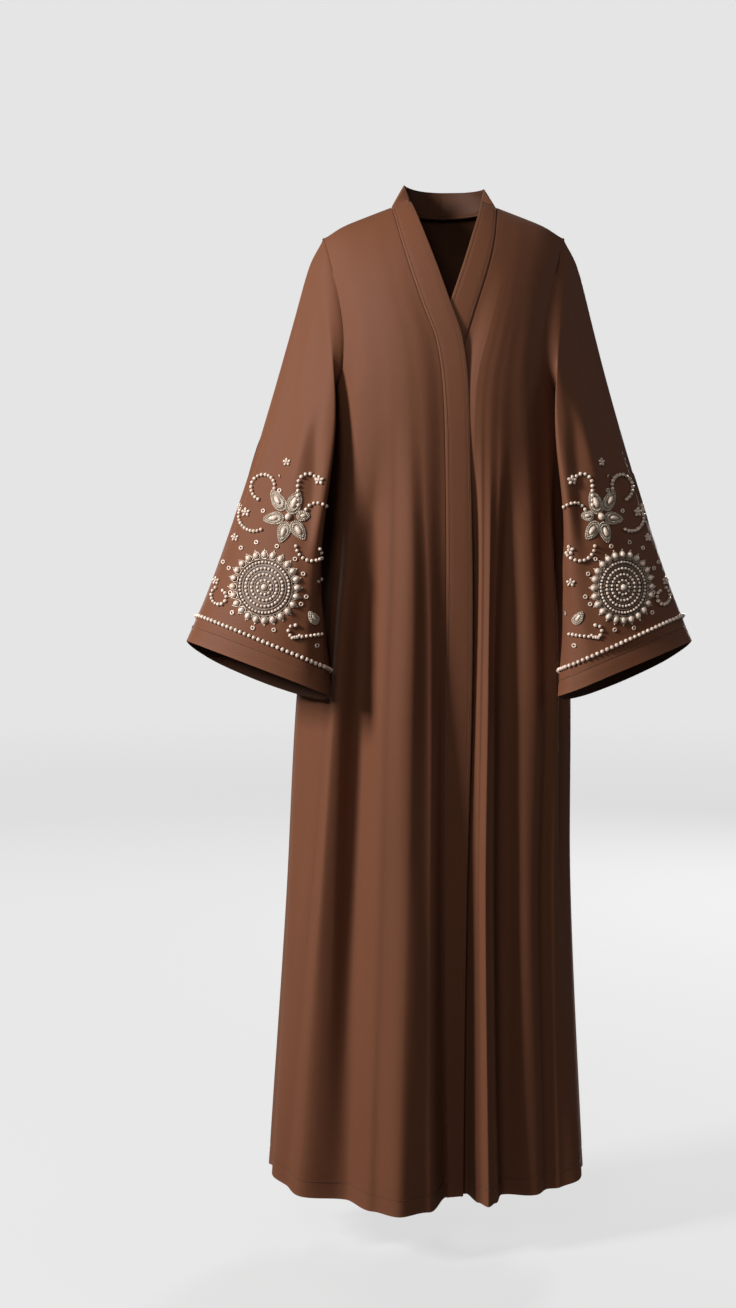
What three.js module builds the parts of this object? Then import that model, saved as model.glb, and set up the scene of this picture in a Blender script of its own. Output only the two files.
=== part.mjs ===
import * as THREE from "three";

// Open-front abaya, filled out as if worn, with nobody in it. Millimetres, +Z up, front towards -Y,
// wearer's right at -X. The origin is midway between the two neck points of the shoulder seams.

const clothWall = 2;
const bandWall = 2.6;
const seamHalfGap = 0.2;
const chestLevel = -276;
const neckHalfWidth = 74;
const shoulderHalfWidth = 172;
const neckPointLevel = -2;
const shoulderDrop = 37;
const squareness = 2.3;
const sleeveTrimLift = 0.35;

// Horizontal sections of the body: middle in X and Y, half width, depth of the front and of the back.
const bodySections = [
  { level: -276, midX: 0, midY: 0, half: 172, front: 118, rear: 104 },
  { level: -480, midX: -4, midY: 8, half: 183, front: 114, rear: 102 },
  { level: -690, midX: -11, midY: 10, half: 196, front: 108, rear: 100 },
  { level: -987, midX: -17, midY: 8, half: 204, front: 96, rear: 102 },
  { level: -1400, midX: -20, midY: 6, half: 226, front: 86, rear: 106 },
];

// Fold lines: direction from the front's middle in degrees, then how far out, each at chest, hip and hem.
const foldLevels = [-276, -672, -1400];
const rightFolds = [
  { name: "side", turn: [-90, -90, -90], out: [0, 0, 0], cells: 3 },
  { name: "tuck", turn: [-68, -66, -76], out: [-5, -14, 5], cells: 2 },
  { name: "press", turn: [-54, -51, -63], out: [-9, -8, 0], cells: 3 },
  { name: "ridgeA", turn: [-41, -42, -50], out: [3, 10, 13], cells: 4 },
  { name: "valleyA", turn: [-28, -31, -29], out: [-5, -12, -10], cells: 4 },
  { name: "riseB", turn: [-21, -17, -17], out: [0, 8, 24], cells: 3 },
  { name: "ridgeB", turn: [-14, -8, -8], out: [4, 17, 42], cells: 3 },
  { name: "fallB", turn: [-9, -2, 0], out: [-1, 7, 22], cells: 4 },
  { name: "seam", turn: [-0.55, 2, 5], out: [-5, -9, -36], cells: 3 },
  { name: "edge", turn: [8.46, 12, 11], out: [-4, -9, -38], cells: 0 },
];
const leftFolds = [
  { name: "edge", turn: [-7.12, -3.5, -1.3], out: [-14, -18, -46], cells: 3 },
  { name: "seam", turn: [1.7, 4, 5.1], out: [-14, -18, -46], cells: 2 },
  { name: "under", turn: [9.5, 12.6, 12.4], out: [-13, -18, -47], cells: 3 },
  { name: "riseC", turn: [14, 15.5, 15.5], out: [-3, -4, -8], cells: 2 },
  { name: "ridgeC", turn: [18, 18, 18.5], out: [3, 4, 13], cells: 2 },
  { name: "fallC", turn: [22, 21, 22], out: [0, 0, 0], cells: 3 },
  { name: "valleyC", turn: [28, 27, 26.5], out: [-6, -15, -30], cells: 4 },
  { name: "ridgeD", turn: [37, 43, 42], out: [4, 4, -8], cells: 3 },
  { name: "valleyD", turn: [46, 51, 50], out: [-3, -5, -18], cells: 3 },
  { name: "ridgeE", turn: [53, 57, 58], out: [0, 3, -8], cells: 3 },
  { name: "tuck", turn: [66, 68, 74], out: [-9, -14, 3], cells: 3 },
  { name: "side", turn: [90, 90, 90], out: [0, 0, 0], cells: 0 },
];
const backFolds = [
  { name: "side", turn: [90, 90, 90], out: [0, 0, 0], cells: 3 },
  { name: "ridge1", turn: [106, 107, 109], out: [1, 6, 16], cells: 3 },
  { name: "valley1", turn: [121, 122, 123], out: [-2, -8, -20], cells: 3 },
  { name: "ridge2", turn: [136, 136, 138], out: [3, 10, 22], cells: 3 },
  { name: "valley2", turn: [150, 151, 151], out: [-2, -6, -16], cells: 4 },
  { name: "ridge3", turn: [165.4, 166, 165], out: [2, 9, 25], cells: 3 },
  { name: "valley3", turn: [180, 181, 183], out: [-3, -9, -24], cells: 3 },
  { name: "ridge4", turn: [194.6, 196, 198], out: [3, 11, 27], cells: 4 },
  { name: "valley4", turn: [210, 211, 210], out: [-2, -7, -17], cells: 3 },
  { name: "ridge5", turn: [226, 226, 223], out: [2, 8, 20], cells: 3 },
  { name: "valley5", turn: [240, 241, 240], out: [-2, -9, -19], cells: 3 },
  { name: "ridge6", turn: [256, 256, 254], out: [1, 5, 15], cells: 2 },
  { name: "side", turn: [270, 270, 270], out: [0, 0, 0], cells: 0 },
];

// Hem height against the direction from the front's middle.
const hemLine = [
  { turn: -180, level: -1408 },
  { turn: -120, level: -1400 },
  { turn: -90, level: -1384 },
  { turn: -50, level: -1402 },
  { turn: -10, level: -1412 },
  { turn: 20, level: -1409 },
  { turn: 50, level: -1402 },
  { turn: 90, level: -1388 },
  { turn: 120, level: -1400 },
  { turn: 180, level: -1408 },
];

// Front neckline of each side: the band's seam, and the band's free edge met from that seam point.
const rightNeck = [
  { level: -2, seam: -74, edge: -55.5, edgeLevel: 30.7 },
  { level: -20, seam: -69.5, edge: -44.5, edgeLevel: 0 },
  { level: -47, seam: -63, edge: -31, edgeLevel: -38 },
  { level: -97, seam: -48.5, edge: -11.5, edgeLevel: -92 },
  { level: -148, seam: -31.5, edge: 7, edgeLevel: -145 },
  { level: -194, seam: -14, edge: 23, edgeLevel: -192 },
  { level: -243, seam: -5.6, edge: 30.6, edgeLevel: -243 },
  { level: -276, seam: -3, edge: 32.5, edgeLevel: -276 },
];
const leftNeck = [
  { level: -2, seam: 74, edge: 57, edgeLevel: 25 },
  { level: -25, seam: 72, edge: 49, edgeLevel: -8 },
  { level: -57, seam: 68, edge: 36, edgeLevel: -50 },
  { level: -92, seam: 60, edge: 24, edgeLevel: -88 },
  { level: -134, seam: 47.3, edge: 9, edgeLevel: -132 },
  { level: -194, seam: 28.4, edge: -12, edgeLevel: -191 },
  { level: -243, seam: 12, edge: -24, edgeLevel: -243 },
  { level: -276, seam: 8, edge: -28, edgeLevel: -276 },
];

// Armhole: how far inside the shoulder tip the seam runs, at the front and at the back.
const armhole = [
  { level: -276, front: 0, rear: 0 },
  { level: -272, front: 8, rear: 6 },
  { level: -262, front: 17, rear: 12 },
  { level: -250, front: 24, rear: 16 },
  { level: -225, front: 31, rear: 20 },
  { level: -180, front: 31, rear: 20 },
  { level: -120, front: 22, rear: 14 },
  { level: -80, front: 12, rear: 8 },
  { level: -39, front: 0, rear: 0 },
];

// Rows up the chest as a share of the way to the shoulder, and down the skirt to the hem.
const chestRows = [0, 0.05, 0.14, 0.28, 0.46, 0.64, 0.79, 0.91, 0.975, 1];
const skirtRows = [0, 0.07, 0.16, 0.27, 0.39, 0.52, 0.65, 0.78, 0.9, 1];

// Smooth curve through a table's rows, sorted by the key.
function along(rows, key, value, at) {
  const up = rows[0][key] < rows[rows.length - 1][key];
  const list = up ? rows : [...rows].reverse();
  const last = list.length - 1;
  if (at <= list[0][key]) return list[0][value];
  if (at >= list[last][key]) return list[last][value];
  let i = 0;
  while (list[i + 1][key] < at) i += 1;
  const slope = (j) => {
    const a = list[Math.max(0, j - 1)];
    const b = list[Math.min(last, j + 1)];
    return (b[value] - a[value]) / (b[key] - a[key]);
  };
  const span = list[i + 1][key] - list[i][key];
  const t = (at - list[i][key]) / span;
  const s = t * t * (3 - 2 * t);
  const bend = t * (1 - t) * span;
  return list[i][value] * (1 - s) + list[i + 1][value] * s
    + bend * (slope(i) * (1 - t) - slope(i + 1) * t);
}

function atLevel(values, level) {
  const rows = values.map((v, i) => ({ level: foldLevels[i], v }));
  return along(rows, "level", "v", level);
}

const blend = (a, b, t) => a + (b - a) * t;
const soft = (t) => {
  const u = Math.min(1, Math.max(0, t));
  return u * u * (3 - 2 * u);
};
const power = (v, p) => Math.sign(v) * Math.pow(Math.abs(v), p);
const rad = Math.PI / 180;

// A point of the layer and how far out its folds push it, from the fold table and a place in it.
function foldAt(folds, place, level) {
  const i = Math.min(folds.length - 2, Math.max(0, Math.floor(place)));
  const t = place - i;
  const turn = blend(atLevel(folds[i].turn, level), atLevel(folds[i + 1].turn, level), t);
  const out = blend(atLevel(folds[i].out, level), atLevel(folds[i + 1].out, level), soft(t));
  return { turn, out };
}

function sectionPoint(turn, out, level, heldLevel) {
  const at = Math.max(-1400, level);
  const get = (value) => along(bodySections, "level", value, at);
  const a = turn * rad;
  const depth = Math.cos(a) > 0 ? get("front") : get("rear");
  const x = power(Math.sin(a), 2 / squareness);
  const y = -power(Math.cos(a), 2 / squareness);
  const nx = power(x, squareness - 1) / get("half");
  const ny = power(y, squareness - 1) / depth;
  const size = Math.hypot(nx, ny);
  return new THREE.Vector3(
    get("midX") + get("half") * x + (out * nx) / size,
    get("midY") + depth * y + (out * ny) / size,
    heldLevel,
  );
}

const shoulderLine = (x) => {
  const slope = shoulderDrop / (shoulderHalfWidth - neckHalfWidth);
  const u = Math.abs(x);
  if (u > neckHalfWidth) return neckPointLevel - slope * (u - neckHalfWidth);
  return neckPointLevel + slope * (neckHalfWidth - u) * (0.75 + 0.25 * (u / neckHalfWidth));
};

// The chest or the upper back over (x, z): a rounded fall from the shoulder line to the chest section.
function chestPoint(x, z, out, rear) {
  const u = Math.min(1, Math.abs(x) / shoulderHalfWidth);
  const full = rear ? bodySections[0].rear : bodySections[0].front;
  const depth = full * Math.pow(1 - Math.pow(u, squareness), 1 / squareness);
  const top = shoulderLine(x);
  const rise = Math.min(1, Math.max(0, (z - chestLevel) / (top - chestLevel)));
  const fall = depth * Math.sqrt(1 - rise * rise);
  const nx = Math.sign(x) * Math.pow(u, squareness - 1) / shoulderHalfWidth;
  const ny = Math.pow(1 - Math.pow(u, squareness), (squareness - 1) / squareness) / full;
  const size = Math.hypot(nx, ny);
  const fade = out * soft(1 - rise / 0.75);
  const side = rear ? 1 : -1;
  return new THREE.Vector3(x + (fade * nx) / size, side * (fall + (fade * ny) / size), z);
}

// Outward normal of the chest or the upper back at a point on it.
function chestNormal(p, rear) {
  if (p.z < chestLevel + 1) return new THREE.Vector3(Math.sign(p.x), 0, 0);
  if (Math.abs(p.y) < 0.01) return new THREE.Vector3(Math.sign(p.x) * 0.38, 0, 1).normalize();
  const dx = chestPoint(p.x + 0.3, p.z, 0, rear).sub(chestPoint(p.x - 0.3, p.z, 0, rear));
  const dz = chestPoint(p.x, p.z + 0.3, 0, rear).sub(chestPoint(p.x, p.z - 0.3, 0, rear));
  const n = dx.cross(dz).normalize();
  if (n.y * (rear ? 1 : -1) < 0) n.negate();
  return n;
}

const armEdge = (z, rear) => shoulderHalfWidth - along(armhole, "level", rear ? "rear" : "front", z);
const backNeckline = (x) => neckPointLevel - 8 * (1 - Math.pow(x / neckHalfWidth, 2));

// Front layer: place in its fold table, and row (0 shoulder, 1 chest, 2 hem).
function frontSurface(folds, neck, sign, place, row) {
  if (row >= 1) {
    const turnAtHem = foldAt(folds, place, -1400).turn;
    const level = blend(chestLevel, along(hemLine, "turn", "level", turnAtHem), row - 1);
    const { turn, out } = foldAt(folds, place, level);
    return sectionPoint(turn, out, level, level);
  }
  const rise = Math.min(1, 1 - row);
  const { turn, out } = foldAt(folds, place, chestLevel);
  const xChest = shoulderHalfWidth * power(Math.sin(turn * rad), 2 / squareness);
  const seamTurn = folds.find((f) => f.name === "seam").turn[0];
  const seamChest = shoulderHalfWidth * power(Math.sin(seamTurn * rad), 2 / squareness);
  const share = (xChest - seamChest) / (sign * shoulderHalfWidth - seamChest);
  if (share >= 0) {
    let x = xChest;
    let z = chestLevel;
    for (let k = 0; k < 12; k += 1) {
      z = chestLevel + (shoulderLine(x) - chestLevel) * rise;
      const inset = shoulderHalfWidth - armEdge(z, false);
      x = blend(along(neck, "level", "seam", z), sign * shoulderHalfWidth, share);
      x -= sign * inset * Math.pow(share, 4);
    }
    return chestPoint(x, z, out * (1 - soft(5 * rise) * Math.pow(share, 5)), false);
  }
  // The band, across from its seam to its free edge.
  const seamPlace = folds.findIndex((f) => f.name === "seam");
  const edgePlace = folds.findIndex((f) => f.name === "edge");
  const width = (place - seamPlace) / (edgePlace - seamPlace);
  let z = chestLevel;
  let x = seamChest;
  for (let k = 0; k < 12; k += 1) {
    z = chestLevel + (shoulderLine(x) - chestLevel) * rise;
    x = along(neck, "level", "seam", z);
  }
  const edgeX = along(neck, "level", "edge", z);
  const edgeZ = along(neck, "level", "edgeLevel", z);
  return chestPoint(blend(x, edgeX, width), blend(z, edgeZ, width), out, false);
}

function backSurface(place, row) {
  if (row >= 1) {
    const turnAtHem = foldAt(backFolds, place, -1400).turn;
    const wrapped = turnAtHem > 180 ? turnAtHem - 360 : turnAtHem;
    const level = blend(chestLevel, along(hemLine, "turn", "level", wrapped), row - 1);
    const { turn, out } = foldAt(backFolds, place, level);
    return sectionPoint(turn, out, level, level);
  }
  const rise = Math.min(1, 1 - row);
  const { turn, out } = foldAt(backFolds, place, chestLevel);
  const share = power(Math.sin(turn * rad), 2 / squareness);
  let x = share * shoulderHalfWidth;
  let z = chestLevel;
  for (let k = 0; k < 12; k += 1) {
    const top = Math.abs(x) < neckHalfWidth ? backNeckline(x) : shoulderLine(x);
    z = chestLevel + (top - chestLevel) * rise;
    x = share * shoulderHalfWidth;
    x -= (shoulderHalfWidth - armEdge(z, true)) * power(share, 5);
  }
  return chestPoint(x, z, out * (1 - soft(5 * rise) * Math.pow(Math.abs(share), 5)), true);
}

// Neckband behind the neck: turn 0 at the shoulder, 90 at the centre back.
function neckbandSurface(sign, neck, turn, width) {
  const a = turn * rad;
  const seamX = sign * neckHalfWidth * Math.cos(a);
  const seam = chestPoint(seamX, backNeckline(seamX), 0, true);
  const peak = neck[0];
  const top = new THREE.Vector3(
    peak.edge * Math.cos(a),
    58 * Math.pow(Math.sin(a), 1.15),
    blend(peak.edgeLevel, 27, soft(turn / 90)),
  );
  return seam.lerp(top, width);
}

// Outward normal of a surface given by two parameters.
function normalOf(surface, u, v, range, dv) {
  const du = 0.02;
  const u0 = Math.max(range.u[0], u - du);
  const u1 = Math.min(range.u[1], u + du);
  const v0 = Math.max(range.v[0], v - dv);
  const v1 = Math.min(range.v[1], v + dv);
  const alongU = surface(u1, v).sub(surface(u0, v));
  const alongV = surface(u, v1).sub(surface(u, v0));
  return alongV.cross(alongU).normalize();
}

// Closed wall from a grid of outer points and their normals.
function wallMesh(grid, normals, wall, ring) {
  const rows = grid.length;
  const cols = grid[0].length;
  const points = [];
  for (const side of [0, wall]) {
    grid.forEach((line, r) => line.forEach((p, c) => {
      const q = p.clone().addScaledVector(normals[r][c], -side);
      points.push(q.x, q.y, q.z);
    }));
  }
  const faces = [];
  const id = (r, c, inner) => (inner ? rows * cols : 0) + r * cols + (c % cols);
  const quad = (a, b, c, d) => faces.push(a, b, c, a, c, d);
  const cells = ring ? cols : cols - 1;
  for (let r = 0; r < rows - 1; r += 1) {
    for (let c = 0; c < cells; c += 1) {
      quad(id(r, c, 0), id(r + 1, c, 0), id(r + 1, c + 1, 0), id(r, c + 1, 0));
      quad(id(r, c, 1), id(r, c + 1, 1), id(r + 1, c + 1, 1), id(r + 1, c, 1));
    }
  }
  for (let c = 0; c < cells; c += 1) {
    quad(id(0, c, 0), id(0, c + 1, 0), id(0, c + 1, 1), id(0, c, 1));
    quad(id(rows - 1, c, 0), id(rows - 1, c, 1), id(rows - 1, c + 1, 1), id(rows - 1, c + 1, 0));
  }
  if (!ring) {
    for (let r = 0; r < rows - 1; r += 1) {
      quad(id(r, 0, 0), id(r, 0, 1), id(r + 1, 0, 1), id(r + 1, 0, 0));
      quad(id(r, cols - 1, 0), id(r + 1, cols - 1, 0), id(r + 1, cols - 1, 1), id(r, cols - 1, 1));
    }
  }
  const geometry = new THREE.BufferGeometry();
  geometry.setAttribute("position", new THREE.Float32BufferAttribute(points, 3));
  geometry.setIndex(faces);
  geometry.computeVertexNormals();
  return geometry;
}

// Pulls one edge of a grid back along the cloth, which leaves the seam's gap.
function pullBack(grid, edge, amount) {
  const rows = grid.length;
  const cols = grid[0].length;
  const move = (p, q) => p.addScaledVector(q.clone().sub(p).normalize(), amount);
  if (edge === "first") grid.forEach((line) => move(line[0], line[1]));
  if (edge === "last") grid.forEach((line) => move(line[cols - 1], line[cols - 2]));
  if (edge === "top") grid[0].forEach((p, c) => move(p, grid[1][c]));
  if (edge === "bottom") grid[rows - 1].forEach((p, c) => move(p, grid[rows - 2][c]));
}

function foldPlaces(folds, from, to) {
  const places = [];
  for (let k = from; k < to; k += 1) {
    for (let c = 0; c < folds[k].cells; c += 1) places.push(k + c / folds[k].cells);
  }
  places.push(to);
  return places;
}

const panelRows = [
  ...[...chestRows].reverse().map((rise) => 1 - rise),
  ...skirtRows.slice(1).map((share) => 1 + share),
];

function gridOf(surface, places, rows, range, outward) {
  const grid = rows.map((row) => places.map((place) => surface(place, row)));
  const normals = rows.map((row) => places.map((place) => {
    const kept = Math.min(range.v[1], Math.max(range.v[0], row));
    return normalOf(surface, place, kept, range, 0.01).multiplyScalar(outward);
  }));
  return { grid, normals };
}

// At the shoulder seam and the armhole the pieces that meet share one normal, so that their edges
// stand face to face.
function levelSeamNormals(grid, normals, rear) {
  const slope = shoulderDrop / (shoulderHalfWidth - neckHalfWidth);
  grid[0].forEach((p, c) => {
    if (Math.abs(p.y) > 0.01) return;
    normals[0][c].set(Math.sign(p.x) * slope, 0, 1).normalize();
  });
  const last = grid[0].length - 1;
  for (let r = 1; r < chestRows.length; r += 1) {
    for (const c of [0, last]) {
      const inArmhole = Math.abs(Math.abs(grid[r][c].x) - armEdge(grid[r][c].z, rear)) < 0.5;
      if (inArmhole) normals[r][c].copy(chestNormal(grid[r][c], rear));
    }
  }
}

function frontPanel(folds, neck, sign) {
  const seam = folds.findIndex((f) => f.name === "seam");
  const side = folds.findIndex((f) => f.name === "side");
  const low = Math.min(seam, side);
  const high = Math.max(seam, side);
  const surface = (place, row) => frontSurface(folds, neck, sign, place, row);
  const range = { u: [low, high], v: [0.004, 2] };
  const { grid, normals } = gridOf(surface, foldPlaces(folds, low, high), panelRows, range, 1);
  levelSeamNormals(grid, normals, false);
  for (const edge of ["first", "last", "top"]) pullBack(grid, edge, seamHalfGap);
  return wallMesh(grid, normals, clothWall, false);
}

function backPanel() {
  const last = backFolds.length - 1;
  const range = { u: [0, last], v: [0.004, 2] };
  const { grid, normals } = gridOf(backSurface, foldPlaces(backFolds, 0, last), panelRows, range, 1);
  levelSeamNormals(grid, normals, true);
  for (const edge of ["first", "last", "top"]) pullBack(grid, edge, seamHalfGap);
  return wallMesh(grid, normals, clothWall, false);
}

// Band: up the front on the fold surface, then round behind the neck to the centre back.
// Its rows behind the neck meet the columns of the back's neckline.
function neckTurnsOf(sign) {
  const xs = foldPlaces(backFolds, 0, backFolds.length - 1).map((place) => sign * backSurface(place, 0).x);
  const turns = xs.filter((x) => x > 1 && x < neckHalfWidth - 2).map((x) => Math.acos(x / neckHalfWidth) / rad);
  return [...turns.sort((a, b) => a - b), 90];
}

function band(folds, neck, sign) {
  const seam = folds.findIndex((f) => f.name === "seam");
  const edge = folds.findIndex((f) => f.name === "edge");
  const across = [0, 1 / 3, 2 / 3, 1];
  const front = (w, row) => frontSurface(folds, neck, sign, blend(seam, edge, w), row);
  const behind = (w, turn) => neckbandSurface(sign, neck, turn, w);
  const grid = [];
  const normals = [];
  const neckTurns = neckTurnsOf(sign);
  for (const turn of [...neckTurns].reverse()) {
    grid.push(across.map((w) => behind(w, turn)));
    normals.push(across.map((w) => normalOf(behind, w, turn, { u: [0, 1], v: [0, 90] }, 0.5)));
  }
  for (const row of panelRows) {
    const at = Math.max(0.004, row);
    grid.push(across.map((w) => front(w, row)));
    normals.push(across.map((w) => normalOf(front, w, at, { u: [0, 1], v: [0.004, 2] }, 0.01)));
  }
  normals.forEach((line, r) => line.forEach((n, c) => {
    const p = grid[r][c];
    const outward = r < neckTurns.length ? n.x * p.x + n.y * p.y : -n.y;
    if (outward < 0) n.negate();
  }));
  // Along the seam the band's edge takes the panel's normal, so that the two edges stand face to face.
  const side = folds.findIndex((f) => f.name === "side");
  const panel = (place, row) => frontSurface(folds, neck, sign, place, row);
  const range = { u: [Math.min(seam, side), Math.max(seam, side)], v: [0.004, 2] };
  grid.forEach((line, r) => {
    if (r < neckTurns.length) {
      normals[r][0].copy(chestNormal(line[0], true));
      return;
    }
    const row = panelRows[r - neckTurns.length];
    normals[r][0].copy(normalOf(panel, seam, Math.max(0.004, row), range, 0.01));
  });
  const slope = shoulderDrop / (shoulderHalfWidth - neckHalfWidth);
  normals[neckTurns.length][0].set(sign * slope, 0, 1).normalize();
  for (const n of normals[0]) n.setX(0).normalize();
  const seamLine = grid.map((line) => line[0].clone());
  grid.forEach((line, r) => {
    const tangent = seamLine[Math.min(seamLine.length - 1, r + 1)].clone().sub(seamLine[Math.max(0, r - 1)]);
    const away = tangent.cross(normals[r][0]).normalize();
    if (away.dot(line[1].clone().sub(line[0])) < 0) away.negate();
    line[0].addScaledVector(away, (r < neckTurns.length ? 2.5 : 1) * seamHalfGap);
  });
  pullBack(grid, "top", seamHalfGap);
  if (sign < 0) return wallMesh(grid, normals, bandWall, false);
  const turned = (lines) => lines.map((line) => [...line].reverse());
  return wallMesh(turned(grid), turned(normals), bandWall, false);
}

// Guide lines down the right sleeve, by share of its length: the outer and the inner edge,
// the middle of the front and of the back.
const sleeveGuides = [
  { share: 0, line: "outer", x: -172, y: 0, z: -39 },
  { share: 0.08, line: "outer", x: -189, y: -2, z: -84 },
  { share: 0.235, line: "outer", x: -213.5, y: -8, z: -172 },
  { share: 0.46, line: "outer", x: -250, y: -22, z: -299 },
  { share: 0.66, line: "outer", x: -287, y: -36, z: -415 },
  { share: 0.87, line: "outer", x: -329, y: -50, z: -535 },
  { share: 1, line: "outer", x: -360, y: -60, z: -607 },
  { share: 0, line: "inner", x: -172, y: 0, z: -276 },
  { share: 0.06, line: "inner", x: -178, y: -5, z: -298 },
  { share: 0.18, line: "inner", x: -185, y: -18, z: -348 },
  { share: 0.5, line: "inner", x: -179, y: -58, z: -478 },
  { share: 0.75, line: "inner", x: -166, y: -86, z: -579 },
  { share: 1, line: "inner", x: -156, y: -101, z: -681 },
  { share: 0, line: "front", x: -141, y: -75, z: -190 },
  { share: 0.25, line: "front", x: -156, y: -98, z: -300 },
  { share: 0.5, line: "front", x: -184, y: -115, z: -415 },
  { share: 0.75, line: "front", x: -219, y: -127, z: -527 },
  { share: 1, line: "front", x: -255, y: -136, z: -639 },
  { share: 0, line: "rear", x: -152, y: 62, z: -190 },
  { share: 0.25, line: "rear", x: -190, y: 42, z: -310 },
  { share: 0.5, line: "rear", x: -217, y: 14, z: -430 },
  { share: 0.75, line: "rear", x: -240, y: -12, z: -550 },
  { share: 1, line: "rear", x: -256, y: -32, z: -668 },
];
const leftSleeveWidth = 0.93;
const sleeveAir = 6;
const sleeveHead = 11;
const sleeveHeadReach = 0.05;
const sleeveRows = [0, 0.035, 0.09, 0.17, 0.27, 0.38, 0.5, 0.62, 0.74, 0.87, 1];
const trimRise = 40;
const trimWidth = 8;
const trimWall = 1.8;

// Soft folds along the sleeve: direction round it at the top and at the cuff, depth, and its share.
const sleeveFolds = [
  { top: 52, cuff: 30, wide: 20, out: -5, start: 0.02, end: 0.75 },
  { top: 118, cuff: 96, wide: 26, out: 5, start: 0.1, end: 0.9 },
  { top: 150, cuff: 140, wide: 22, out: -5, start: 0.1, end: 1.1 },
  { top: 235, cuff: 250, wide: 26, out: -6, start: 0.1, end: 0.95 },
  { top: 300, cuff: 305, wide: 24, out: 5, start: 0.1, end: 1.1 },
];

function guidePoint(line, share) {
  const rows = sleeveGuides.filter((g) => g.line === line);
  const at = Math.min(1, Math.max(0, share));
  return new THREE.Vector3(
    along(rows, "share", "x", at),
    along(rows, "share", "y", at),
    along(rows, "share", "z", at),
  );
}

// The armhole's ring, from the shoulder tip down the front and up the back, as on the panels.
const armholeRing = (() => {
  const side = -shoulderHalfWidth;
  const edgePoint = (rise, rear) => {
    let x = side;
    let z = chestLevel;
    for (let k = 0; k < 12; k += 1) {
      z = chestLevel + (shoulderLine(x) - chestLevel) * rise;
      x = -armEdge(z, rear);
    }
    return chestPoint(x, z, 0, rear);
  };
  const down = [...chestRows].reverse();
  const corners = [
    ...down.map((rise) => edgePoint(rise, false)),
    ...chestRows.slice(1, -1).map((rise) => edgePoint(rise, true)),
  ];
  const ring = [];
  corners.forEach((p, i) => {
    const q = corners[(i + 1) % corners.length];
    ring.push(p, p.clone().lerp(q, 0.5));
  });
  const bottom = 2 * (chestRows.length - 1);
  const lengths = ring.map((p, i) => p.distanceTo(ring[(i + 1) % ring.length]));
  const total = (from, to) => lengths.slice(from, to).reduce((a, b) => a + b, 0);
  const turns = ring.map((p, i) => (i <= bottom
    ? (180 * total(0, i)) / total(0, bottom)
    : 180 + (180 * total(bottom, i)) / total(bottom, ring.length)));
  return { ring, turns, bottom };
})();

function sleevePoint(column, share) {
  const { ring, turns } = armholeRing;
  const count = ring.length;
  const i = Math.floor(column);
  const t = column - i;
  const at = (k) => ((k % count) + count) % count;
  const first = turns[at(i)];
  const second = at(i + 1) === 0 ? 360 : turns[at(i + 1)];
  const turn = blend(first, second, t);
  const hole = ring[at(i)].clone().lerp(ring[at(i + 1)], t);
  const shape = (s) => {
    const outer = guidePoint("outer", s);
    const inner = guidePoint("inner", s);
    const middle = outer.clone().add(inner).multiplyScalar(0.5);
    const flank = guidePoint(Math.sin(turn * rad) >= 0 ? "front" : "rear", s).sub(middle);
    return middle.clone()
      .addScaledVector(outer.clone().sub(middle), Math.cos(turn * rad))
      .addScaledVector(flank, Math.abs(Math.sin(turn * rad)));
  };
  const p = shape(share);
  const rest = hole.sub(shape(0)).multiplyScalar(1 - soft(share / 0.5));
  return { point: p.add(rest), turn };
}

function sleeveSurface(column, share) {
  const { point, turn } = sleevePoint(column, share);
  const centre = guidePoint("outer", share).add(guidePoint("inner", share)).multiplyScalar(0.5);
  const outward = point.clone().sub(centre);
  outward.z = 0;
  outward.normalize();
  let push = 0;
  for (const f of sleeveFolds) {
    const middle = blend(f.top, f.cuff, share);
    const away = Math.abs(turn - middle) / f.wide;
    if (away < 1 && share > f.start && share < f.end) {
      const reach = (share - f.start) / (f.end - f.start);
      push += f.out * soft(1 - away) * Math.sin(Math.PI * Math.min(1, reach));
    }
  }
  const near = share / sleeveHeadReach;
  point.x -= sleeveHead * Math.abs(Math.sin(turn * rad)) * near * Math.exp(1 - near);
  return clearOfBody(point.addScaledVector(outward, push), share);
}

// Below the underarm the sleeve stays outside the body's section by a little air.
function clearOfBody(p, share) {
  if (share < 0.01 || p.z > chestLevel + 8) return p;
  const get = (value) => along(bodySections, "level", value, Math.min(chestLevel, p.z));
  const dx = p.x - get("midX");
  const dy = p.y - get("midY");
  const depth = dy < 0 ? get("front") : get("rear");
  const reach = Math.pow(Math.abs(dx) / get("half"), squareness)
    + Math.pow(Math.abs(dy) / depth, squareness);
  const size = Math.pow(reach, 1 / squareness);
  const least = 1 + sleeveAir / get("half");
  if (size >= least) return p;
  p.x = get("midX") + (dx * least) / size;
  p.y = get("midY") + (dy * least) / size;
  return p;
}

const sleeveLengths = armholeRing.ring.map((p, c) => {
  const steps = [0, 0.25, 0.5, 0.75, 1].map((s) => sleeveSurface(c, s));
  return steps.slice(1).reduce((sum, q, k) => sum + q.distanceTo(steps[k]), 0);
});

// Rows down the sleeve: shares to the trim's upper line, then the trim's lower line and the cuff.
function sleeveShare(column, row) {
  const count = sleeveLengths.length;
  const i = Math.floor(column);
  const at = (k) => ((k % count) + count) % count;
  const length = blend(sleeveLengths[at(i)], sleeveLengths[at(i + 1)], column - i);
  const trimShare = 1 - trimRise / length;
  if (row <= 1) return row * trimShare;
  return trimShare + (row - 1) * (1 - trimShare);
}

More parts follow.
